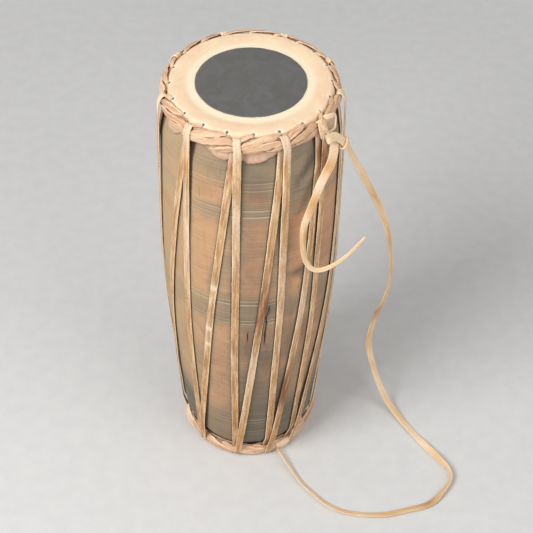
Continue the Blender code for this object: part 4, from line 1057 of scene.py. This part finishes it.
def make_collar(end, paint):
    """Outer ring of skin, drawn in at its stitch holes, with a ragged hem and hanging flaps."""
    angles = near_columns(SKIN_COLUMNS, HOLES, 2.6, 13)
    drop = MM * round_values(angles, end.hem)
    flap = blend(drop, 0.0, 0.004)
    ragged = 0.0003 * waves(angles, 21, 31, 7) + 0.0003 * waves(angles, 22, 97, 5) * flap
    hem_from = (COLLAR_LAP - HEM_BAND) * math.cos(end.lean)
    hem = COLLAR_LAP * math.cos(end.lean) + np.maximum(drop + ragged, -0.002)
    opening = end.opening + 0.0004 * waves(angles, 23, 3, 6) + 0.0002 * waves(angles, 24, 30, 5)
    flat = np.concatenate([[0, 0.004], np.linspace(0, 0.6, 14)[1:], np.linspace(0.6, 1, 22)[1:]])
    profile = []
    for out in (HEAD_STACK, COLLAR_OUT):
        edge_r, edge_z = end.edge(out, 9)
        rows = []
        for share in flat:
            r = opening + (edge_r[0] - opening) * share
            feather = 1 - blend(r, end.opening, end.opening + COLLAR_FEATHER)
            rows.append((r, edge_z[0] - end.up * feather * (out - GAP - MEMBRANE_THICKNESS) * 0.97))
        rows += zip(edge_r[1:], edge_z[1:])
        rows += [end.side(out, along) for along in np.linspace(0.0023, COLLAR_LAP - HEM_BAND, 8)]
        for share in np.linspace(0, 1, HEM_ROWS + 1)[1:]:
            depth = hem_from + (hem - hem_from) * share
            lift = flap * (0.0004 + 0.0011 * share**2 * (1 + waves(angles, 25, 11, 4)))
            lift = lift * (1 - end.lace_pull(angles, LACE_WIDE_PULL))
            thinned = out - HEM_THINNING * (out - GAP) * share**2
            r = end.shell_radius(depth) + (thinned + lift) / math.cos(end.lean)
            rows.append((r, end.face_z - end.up * depth))
        profile += rows[::-1] if profile else rows
    radius, height = (np.array([part + 0 * angles for part in column]) for column in zip(*profile))
    half = len(profile) // 2
    outside = (np.arange(len(profile)) < half)[:, None]
    pucker = 0.5 + 0.5 * np.cos(HOLE_COUNT * (angles - HOLES[0]))
    at_fold = blend(radius, end.end_radius - 0.009, end.end_radius) * (np.abs(height - end.face_z) < 0.004)
    height = height - end.up * 0.00035 * at_fold * pucker * (1 + 0.5 * waves(angles, 26, 7, 4))
    hole_radius, hole_height = end.side(*HOLE_PLACE)
    near = np.min([apart(angles, hole) for hole in HOLES], axis=0)
    away = np.hypot(np.hypot(radius - hole_radius, height - hole_height), near * hole_radius)
    pit = np.exp(-(away / HOLE_HALF) ** 4) * outside
    halo = bell(away, 1.6 * HOLE_HALF, HOLE_HALF) * outside * 0.7
    radius = radius - 0.0004 * pit
    height = np.maximum(height - end.up * (0.0006 * pit - 0.0002 * halo), 0.0)
    dirt = np.zeros(len(profile))
    dirt[half - HEM_ROWS - 6:half] = np.linspace(0.2, 0.85, HEM_ROWS + 6)
    dirt[half:] = 0.8
    piece = Piece().add_grid(polar(angles, radius, height), True, pit=pit, halo=halo, hem=dirt[:, None])
    piece.finish(end.name + "_collar", paint, "collar_skin")


def make_membrane(end, paint):
    """Playing skin under the collar, seen as the cream ring round the paste."""
    profile = []
    for out in (GAP + MEMBRANE_THICKNESS, GAP):
        edge_r, edge_z = end.edge(out, 6)
        flat = np.linspace(0.0003, edge_r[0], 40)[:-1]
        swell = 0.0001 * np.cos(flat / end.end_radius * np.pi / 2)
        line = list(zip(flat, edge_z[0] + end.up * swell)) + list(zip(edge_r, edge_z))
        line.append(end.side(out, MEMBRANE_LAP))
        profile += line[::-1] if profile else line
    grid = np.array([polar(turns(180), *place) for place in profile])
    piece = Piece().add_grid(grid, pit=0.0, halo=0.0, hem=0.0)
    piece.finish(end.name + "_membrane", paint, "head_skin")


def make_paste(end, paint):
    """Disc of tuning paste with a slightly chipped, bevelled edge."""
    angles = turns(240)
    bed = end.face_z + end.up * COLLAR_OUT
    wide, deep = PASTE_BEVEL
    chip = wide * bell(apart(angles, math.radians(8)), 0, 0.012)
    rim = end.paste + 0.00022 * waves(angles, 31, 4, 7) - chip
    rows = []
    for share in np.linspace(PASTE_CENTRE, 1, 46):
        r = (rim - wide) * share
        rows.append((r, PASTE_THICKNESS + 0.00003 * waves(r, 33, 600, 4) * (share < 0.97)))
    for turn in np.linspace(0.3, np.pi / 2, 5):
        rows.append((rim - wide + wide * np.sin(turn), PASTE_THICKNESS - deep + deep * np.cos(turn)))
    rows += [(rim, 0.0), (rim * PASTE_CENTRE, 0.0)]
    grid = np.array([polar(angles, r, bed + end.up * h) for r, h in rows])
    Piece().add_grid(grid).finish(end.name + "_paste", paint, "tuning_paste")


def ring_line(end):
    """Outline of a ring's strips: distances, then places and normals, out from the seat and along it."""
    line = smooth_route(np.array(end.ring) * MM, 12)
    way, distance = travel(line)
    return distance, line[:, 0], line[:, 1], way[:, 1], -way[:, 0]


def ring_points(end, angle, place, lift):
    """Points at these places along a ring's outline, lifted off it; the upper ring lies low at the back."""
    distance, *outline = ring_line(end)
    out, along, normal_out, normal_along = (np.interp(place, distance, part) for part in outline)
    bulk = 1.0
    if end is UPPER:
        bulk = round_values(angle, UPPER_BULK)
        bulk = bulk + np.maximum(BULK_AT_LACE - bulk, 0) * end.lace_pull(angle, LACE_WIDE_PULL)
        along = np.where(along > 0, along, along * blend(np.cos(angle), -0.7, 0.3))
    bulk = np.where(along > 0, bulk, 1.0)
    out = RING_ROOT + (out - RING_ROOT) * bulk + normal_out * lift
    radius, height = end.side(out, along * bulk + normal_along * lift)
    return polar(angle, radius, np.maximum(height, 0.0001))


def strip_section():
    """Section of a ring's strip: places over its width and through its thickness, from -1 to 1."""
    turn = turns(STRIP_SECTION)
    return flattened(np.cos(turn), 0.6), flattened(np.sin(turn), 0.75)


def add_stitch(piece, end, hole, span, rough, seed):
    """Strip of a rope ring: out from under the ring, along it and up, then over the edge to its hole."""
    dice = np.random.default_rng(seed)
    size = ring_line(end)[0][-1]
    share = np.linspace(0, 1, STRIP_POINTS)
    angle = hole - span * (1 - share)
    pull = end.lace_pull(angle)
    centre = size * np.interp(share, (0, 0.06, 0.14, 0.86, 1), end.strip_places)
    centre = centre + 0.0005 * waves(angle, seed, 9, 3)
    squeezed = size * 0.47 + 0.62 * (centre - size * 0.28)
    centre = centre + pull * blend(centre, 0.24 * size, 0.33 * size) * (squeezed - centre)
    width = size * end.strip_width * (1 + 0.15 * (dice.uniform(-1, 1) + waves(angle, seed + 1, 14, 4)))
    width = width * np.interp(share, (0, 0.08, 0.90, 1), (0.7, 1.0, 1.0, 0.55)) * (1 - 0.42 * pull)
    if end is UPPER:
        width = width * (1 + 0.75 * (1 - round_values(angle, UPPER_BULK)))
    layer = np.interp(share, (0, 0.08, 0.20, 0.80, 0.95, 1), (-0.0012, -0.0006, 0.0, 0.0009, 0.0005, -0.0008))
    layer = layer * (1 - pull) - 0.0004 * pull
    over, through = strip_section()
    ragged = 1 + 0.08 * waves(angle, seed + 2, 25, 6)[:, None] * np.sign(over)
    reach = over * ragged * width[:, None] / 2
    along = ((angle - angle[0]) * end.end_radius)[:, None]
    ridge = (0.00012 + 0.00020 * rough) * wrinkles(along, over, seed, 260.0)
    pleats = (0.00006 + 0.00016 * rough) * np.sin(8 * over + 1.2 * waves(along, seed + 4, 200.0, 3))
    lift = layer[:, None] + (0.00062 + ridge + pleats) * through + 0.0004 * (1 - over**2)
    piece.add_strip(ring_points(end, angle[:, None], centre[:, None] + reach, lift), along, reach, seed, over,
                    amber=0.06 + 0.20 * rough,
                    bleach=0.22 * (1 - rough) + 0.35 * blend(share, 0.86, 1) + 0.25 * (rough > 0.9),
                    dark=0.30 * np.maximum(waves(angle, seed + 3, 6, 4), 0) * rough)


def add_core(piece, end):
    """Inner strip right round a rope ring, seen between the others and darkened as painted shade in the gaps.
    """
    size = ring_line(end)[0][-1]
    angle = turns(360)[:, None]
    pull = end.lace_pull(angle)
    top, bottom = size * (0.17 + 0.30 * pull), size * (0.93 - 0.06 * pull)
    over, through = strip_section()
    reach = over * (bottom - top) / 2
    ridge = 0.0002 * wrinkles(angle, over, 7, 5)
    lift = -0.0015 - 0.0003 * pull + 0.0005 * through + ridge * (through > 0)
    grid = ring_points(end, angle, (bottom + top) / 2 + reach, lift)
    flow = np.stack(np.broadcast_arrays(angle * end.end_radius, reach, 0.5), axis=-1)
    # dark=0.55 paints the shade of the gaps between the strips onto the core
    piece.add_grid(grid, True, flow=flow, across=over, amber=0.2, bleach=0.0, dark=0.55)


def seat_point(end, degrees, out, along):
    """Point at this angle, this many millimetres out from an end's seat and along it."""
    return polar(math.radians(degrees), *end.side(out * MM, along * MM))


def seat_line(points):
    """Smooth line through points outside the drum, and the direction of a strip's width along it."""
    line = smooth_route(points, 8)
    normal = unit(line * np.array((1, 1, 0))) + SEAT_LEAN
    return line, unit(np.cross(travel(line)[0], normal))


def make_ring(end, paint):
    """Rope ring of overlapping strips, stitched through the collar."""
    upper = end is UPPER
    roughness, seed = (1.0, 200) if upper else (0.5, 300)
    dice = np.random.default_rng(17 if upper else 18)
    piece = Piece()
    for i, (hole, rough) in enumerate(zip(HOLES, STRIP_ROUGH)):
        span = math.radians(end.strip_span * dice.uniform(0.94, 1.06))
        add_stitch(piece, end, hole, span, rough * roughness, seed + 3 * i)
    add_core(piece, end)
    for k, (route, widths, bleach) in enumerate(() if upper else LOOSE_STRIPS):
        line, across = seat_line([seat_point(end, *point) for point in route])
        piece.add_band(line, across, spread(widths, len(line)) * MM, LOOSE_THICKNESS, 330 + k, curl=0.0004,
                       ragged=0.10, wrinkle=0.0003, amber=0.35 - 0.4 * bleach, bleach=bleach,
                       dark=0.15 - 0.2 * bleach)
    strands = [end.name + "_rope_strand_a", end.name + "_rope_strand_b"]
    piece.finish(end.name + "_rope", paint, "rope_hide", *strands)


def near_hanger(side, out, down):
    """Point given from the hanger in millimetres: sideways, out from the rope and down from its middle."""
    rope_radius = UPPER.side(UPPER.rope_out + UPPER.rope_half[0], UPPER.rope_along)[0]
    rope_z = UPPER.side(UPPER.rope_out, UPPER.rope_along)[1]
    aside = sideways(HANGER_ANGLE) * side * MM
    return polar(HANGER_ANGLE, rope_radius + out * MM, rope_z - down * MM) + aside


def knot_line(steps=ROUTE_STEPS):
    """Middle line of the strap's knot, the direction of its width and the way it faces."""
    path = smooth_route([near_hanger(*point) for point in KNOT_ROUTE], steps)
    facing = polar(HANGER_ANGLE, *KNOT_FACING)
    return path, unit(np.cross(facing, travel(path)[0])), facing


def make_knot(paint):
    """Doubled end of the strap: under, round a fold at the thongs, and back over the top."""
    path, across, facing = knot_line()
    along, distance = travel(path)
    layer = (KNOT_LAYER + 0.0007 * (1 - blend(distance, 0, 0.008)))[:, None]
    half = len(path) // 2
    under = path[half::-1] - facing * layer[half::-1]
    fold = [path[0] - layer[0] * (along[0] * 1.2 * math.cos(turn) - facing * math.sin(turn))
            for turn in np.linspace(-np.pi / 2, np.pi / 2, 11)[1:-1]]
    line = np.vstack([under, fold, path + facing * layer])
    wide = np.vstack([across[half::-1], np.tile(across[0], (len(fold), 1)), across])
    widths = KNOT_WIDTH * (0.94 + 0.06 * np.sin(7 * np.linspace(0, 1, len(line))))
    piece = Piece().add_band(line, wide, widths, KNOT_BAND_THICKNESS, 401, curl=0.00012, bleach=0.45)
    return piece.finish("strap_knot", paint, "strap_hide")


def make_keeper(paint):
    """Slit loop that holds the knot's two layers together."""
    path, across, facing = knot_line()
    index = round(0.80 * (len(path) - 1))
    along, wide = travel(path)[0][index], across[index]
    turn = turns(40)[:, None]
    loop = path[index] + wide * flattened(np.cos(turn), 0.7) * (KNOT_WIDTH / 2 + 0.0011)
    loop = loop + unit(np.cross(along, wide)) * flattened(np.sin(turn), 0.7) * (KNOT_THICKNESS / 2 + 0.0013)
    lean = np.tile(unit(along + 0.30 * wide), (len(loop), 1))
    piece = Piece().add_band(loop, lean, KEEPER_WIDTH, KEEPER_THICKNESS, 405, True, curl=-0.0003, bleach=0.3)
    return piece.finish("strap_keeper", paint, "strap_hide")


def make_hanger(paint):
    """Thongs that tie the knot to the upper rope, and the strip that crosses the rope beside them."""
    path, across, facing = knot_line()
    top, wide = path[0], across[0] * KNOT_WIDTH
    at_knot = [top + wide * 0.55 - facing * 0.0004, top + wide * 0.2]
    piece = Piece()
    for k, (route, widths, to_knot, bleach) in enumerate(THONGS):
        line, wide = seat_line([seat_point(UPPER, *point) for point in route] + (at_knot if to_knot else []))
        piece.add_band(line, wide, spread(widths, len(line)) * MM, THONG_THICKNESS, 410 + k, curl=0.0001,
                       bleach=bleach, amber=0.5 - bleach)
    return piece.finish("strap_hanger", paint, "strap_hide")


def make_tie(paint):
    """Turns of the strap round the lower rope, crossing in a lump at the front."""
    piece = Piece()
    turn = turns(44)
    for k, (angle, skew, grow, width) in enumerate(TIE_TURNS):
        radius, height = LOWER.wrap(LACE_THICKNESS + 2 * grow * MM, turn)
        at = math.radians(angle) + skew * np.cos(turn)
        loop = polar(at, radius, np.maximum(height, 0.0009))
        piece.add_band(loop, sideways(at), width * MM, LACE_THICKNESS, 420 + k, True, bleach=0.8)
    return piece.finish("lower_strap_tie", paint, "strap_hide")


def carry_line():
    """Middle line of the carrying strap, and the direction of its width."""
    knot, knot_across, facing = knot_line(2)
    start = knot[-1] + unit(knot[-1] - knot[-2]) * STRAP_START_GAP
    places, across = [start], [knot_across[-1]]
    for x, y, share, turn in HANGING_ROUTE:
        places.append((x * MM, y * MM, share * start[2]))
        across.append(sideways(math.radians(turn)))
    floor = np.array(FLOOR_ROUTE) * (MM, MM, math.radians(1))
    for (x, y, tilt), (ax, ay) in zip(floor, unit(np.gradient(floor[:, :2], axis=0))):
        across.append((-ay * math.cos(tilt), ax * math.cos(tilt), math.sin(tilt)))
        lift = STRAP_WIDTH / 2 * abs(math.sin(tilt)) + STRAP_THICKNESS / 2 * math.cos(tilt)
        places.append((x, y, lift + FLOOR_CLEARANCE))
    radius, z = LOW_OUT
    places.append(polar(STRAP_FOOT_ANGLE, radius + LACE_THICKNESS / 2 + GAP, z - STRAP_LIFT_TO_TIE))
    across.append(across[-1])
    return smooth_route(places), smooth_route(across)


def make_strap(paint, with_pieces):
    """Carrying strap, hanging from the knot to the floor and back to the lower rope."""
    path, across = carry_line()
    widths = np.interp(np.linspace(0, 1, len(path)), (STRAP_TAPER_FROM, 1.0), (STRAP_WIDTH, STRAP_END_WIDTH))
    distance = travel(path)[1]
    marks = {"amber": np.clip(0.20 + 0.40 * waves(distance, 54, 55, 4), 0, 1), "dark": 0 * distance,
             "bleach": 0.15 + 0.15 * waves(distance, 51, 40, 4)}
    add_marks(marks, distance, STRAP_MARKS)
    piece = Piece().add_band(path, across, widths, STRAP_THICKNESS, 430, curl=0.00015, **marks)
    strap = piece.finish("carry_strap", paint, "strap_hide")


def make_tail(paint):
    """Bare end of the strap, curling down in front of the drum."""
    knot, knot_across, facing = knot_line(2)
    start = knot[round(0.5 * (len(knot) - 1))] - facing * (KNOT_THICKNESS / 2 + GAP + STRAP_THICKNESS / 2)
    path = smooth_route([start] + [near_hanger(*point) for point in TAIL_ROUTE])
    along, distance = travel(path)
    across = unit(np.cross(along, TAIL_FACING))
    widths = MM * np.interp(distance / distance[-1], *np.array(TAIL_WIDTHS).T)
    marks = {"amber": np.clip(0.20 + 0.30 * waves(distance, 53, 60, 4), 0, 1),
             "bleach": 0.10 + 0.15 * waves(distance, 52, 45, 4)}
    add_marks(marks, distance, TAIL_MARKS)
    piece = Piece().add_band(path, across, widths, STRAP_THICKNESS, 431, curl=0.00015, **marks)
    tail = piece.finish("strap_tail", paint, "strap_hide")


def make_camera():
    """Camera where the photograph was taken from."""
    data = bpy.data.cameras.new("photo_camera")
    data.sensor_width = SENSOR_WIDTH
    data.lens = SENSOR_WIDTH * FOCAL_PIXELS / IMAGE_SIDE
    forward = Vector((0, math.cos(CAMERA_PITCH), -math.sin(CAMERA_PITCH)))
    right = Vector((1, 0, 0))
    up = right.cross(forward)
    turned_right = right * math.cos(CAMERA_ROLL) + up * math.sin(CAMERA_ROLL)
    turned_up = up * math.cos(CAMERA_ROLL) - right * math.sin(CAMERA_ROLL)
    camera = bpy.data.objects.new("photo_camera", data)
    axes = Matrix((turned_right, turned_up, -forward)).transposed()
    camera.matrix_world = Matrix.Translation(CAMERA_PLACE) @ axes.to_4x4()
    bpy.context.scene.collection.objects.link(camera)
    bpy.context.scene.camera = camera


def make_light(name, place, target, size, power):
    """Square lamp aimed at a point."""
    data = bpy.data.lights.new(name, "AREA")
    data.size = size
    data.energy = power
    lamp = bpy.data.objects.new(name, data)
    lamp.location = place
    lamp.rotation_euler = (Vector(target) - Vector(place)).to_track_quat("-Z", "Y").to_euler()
    bpy.context.scene.collection.objects.link(lamp)


def make_world():
    """Even pale surroundings, brighter to the camera than as a light."""
    world = bpy.data.worlds.new("studio")
    bpy.context.scene.world = world
    world.use_nodes = True
    nodes = Nodes(world.node_tree)
    limits = {"To Min": LIT_STRENGTH, "To Max": SEEN_STRENGTH}
    strength = nodes.node("MapRange", {"Value": nodes.seen(), **limits})
    nodes.put(nodes.tree.nodes["Background"], {"Color": SURROUNDINGS, "Strength": strength.outputs["Result"]})


def make_floor():
    """Plain pale floor that passes into the surroundings far from the drum."""
    mesh = bpy.data.meshes.new("floor")
    corners = [(x * FLOOR_HALF, y * FLOOR_HALF, 0) for x, y in ((-1, -1), (1, -1), (1, 1), (-1, 1))]
    mesh.from_pydata(corners, [], [(0, 1, 2, 3)])
    paint = Paint("floor_paint", 0.2)
    speckle = paint.noise(paint.place, 60, 4)
    paint.colour = paint.mix(paint.ramp(speckle, 0.3, 0.7), FLOOR_DARK, FLOOR_PALE)
    paint.bump(speckle, 0.0003, 0.3)
    mesh.materials.append(paint.done(0.8))
    far = paint.math("MULTIPLY", paint.ramp(paint.radius(), *FLOOR_FADE), paint.seen())
    glow = paint.node("Emission", {"Color": SURROUNDINGS, "Strength": SEEN_STRENGTH})
    both = paint.node("MixShader", {0: far, 1: paint.shader.outputs[0], 2: glow.outputs[0]})
    paint.put(paint.tree.nodes["Material Output"], {"Surface": both.outputs[0]})
    floor = bpy.data.objects.new("floor", mesh)
    bpy.context.scene.collection.objects.link(floor)


def main():
    """Build the drum and the studio."""
    bpy.context.scene.view_settings.view_transform = "Standard"
    make_camera()
    make_world()
    for lamp in LAMPS:
        make_light(*lamp)
    make_floor()

    strap_hide = hide_paint("strap")
    make_strap(strap_hide, [make(strap_hide) for make in (make_knot, make_keeper, make_hanger, make_tie)])
    make_tail(strap_hide)
    lace_hide = hide_paint("lace")
    for index in range(len(LOOP_ANGLES)):
        make_lace(index, lace_hide)
    paste = paste_paint()
    for end in (UPPER, LOWER):
        make_ring(end, hide_paint(end.name + "_rope"))
        make_collar(end, skin_paint(end.name + "_collar_look", end.opening, COLLAR_CREAM))
        make_membrane(end, skin_paint(end.name + "_membrane_look", end.opening, MEMBRANE_CREAM))
        make_paste(end, paste)
    make_shell(shell_paint())


main()
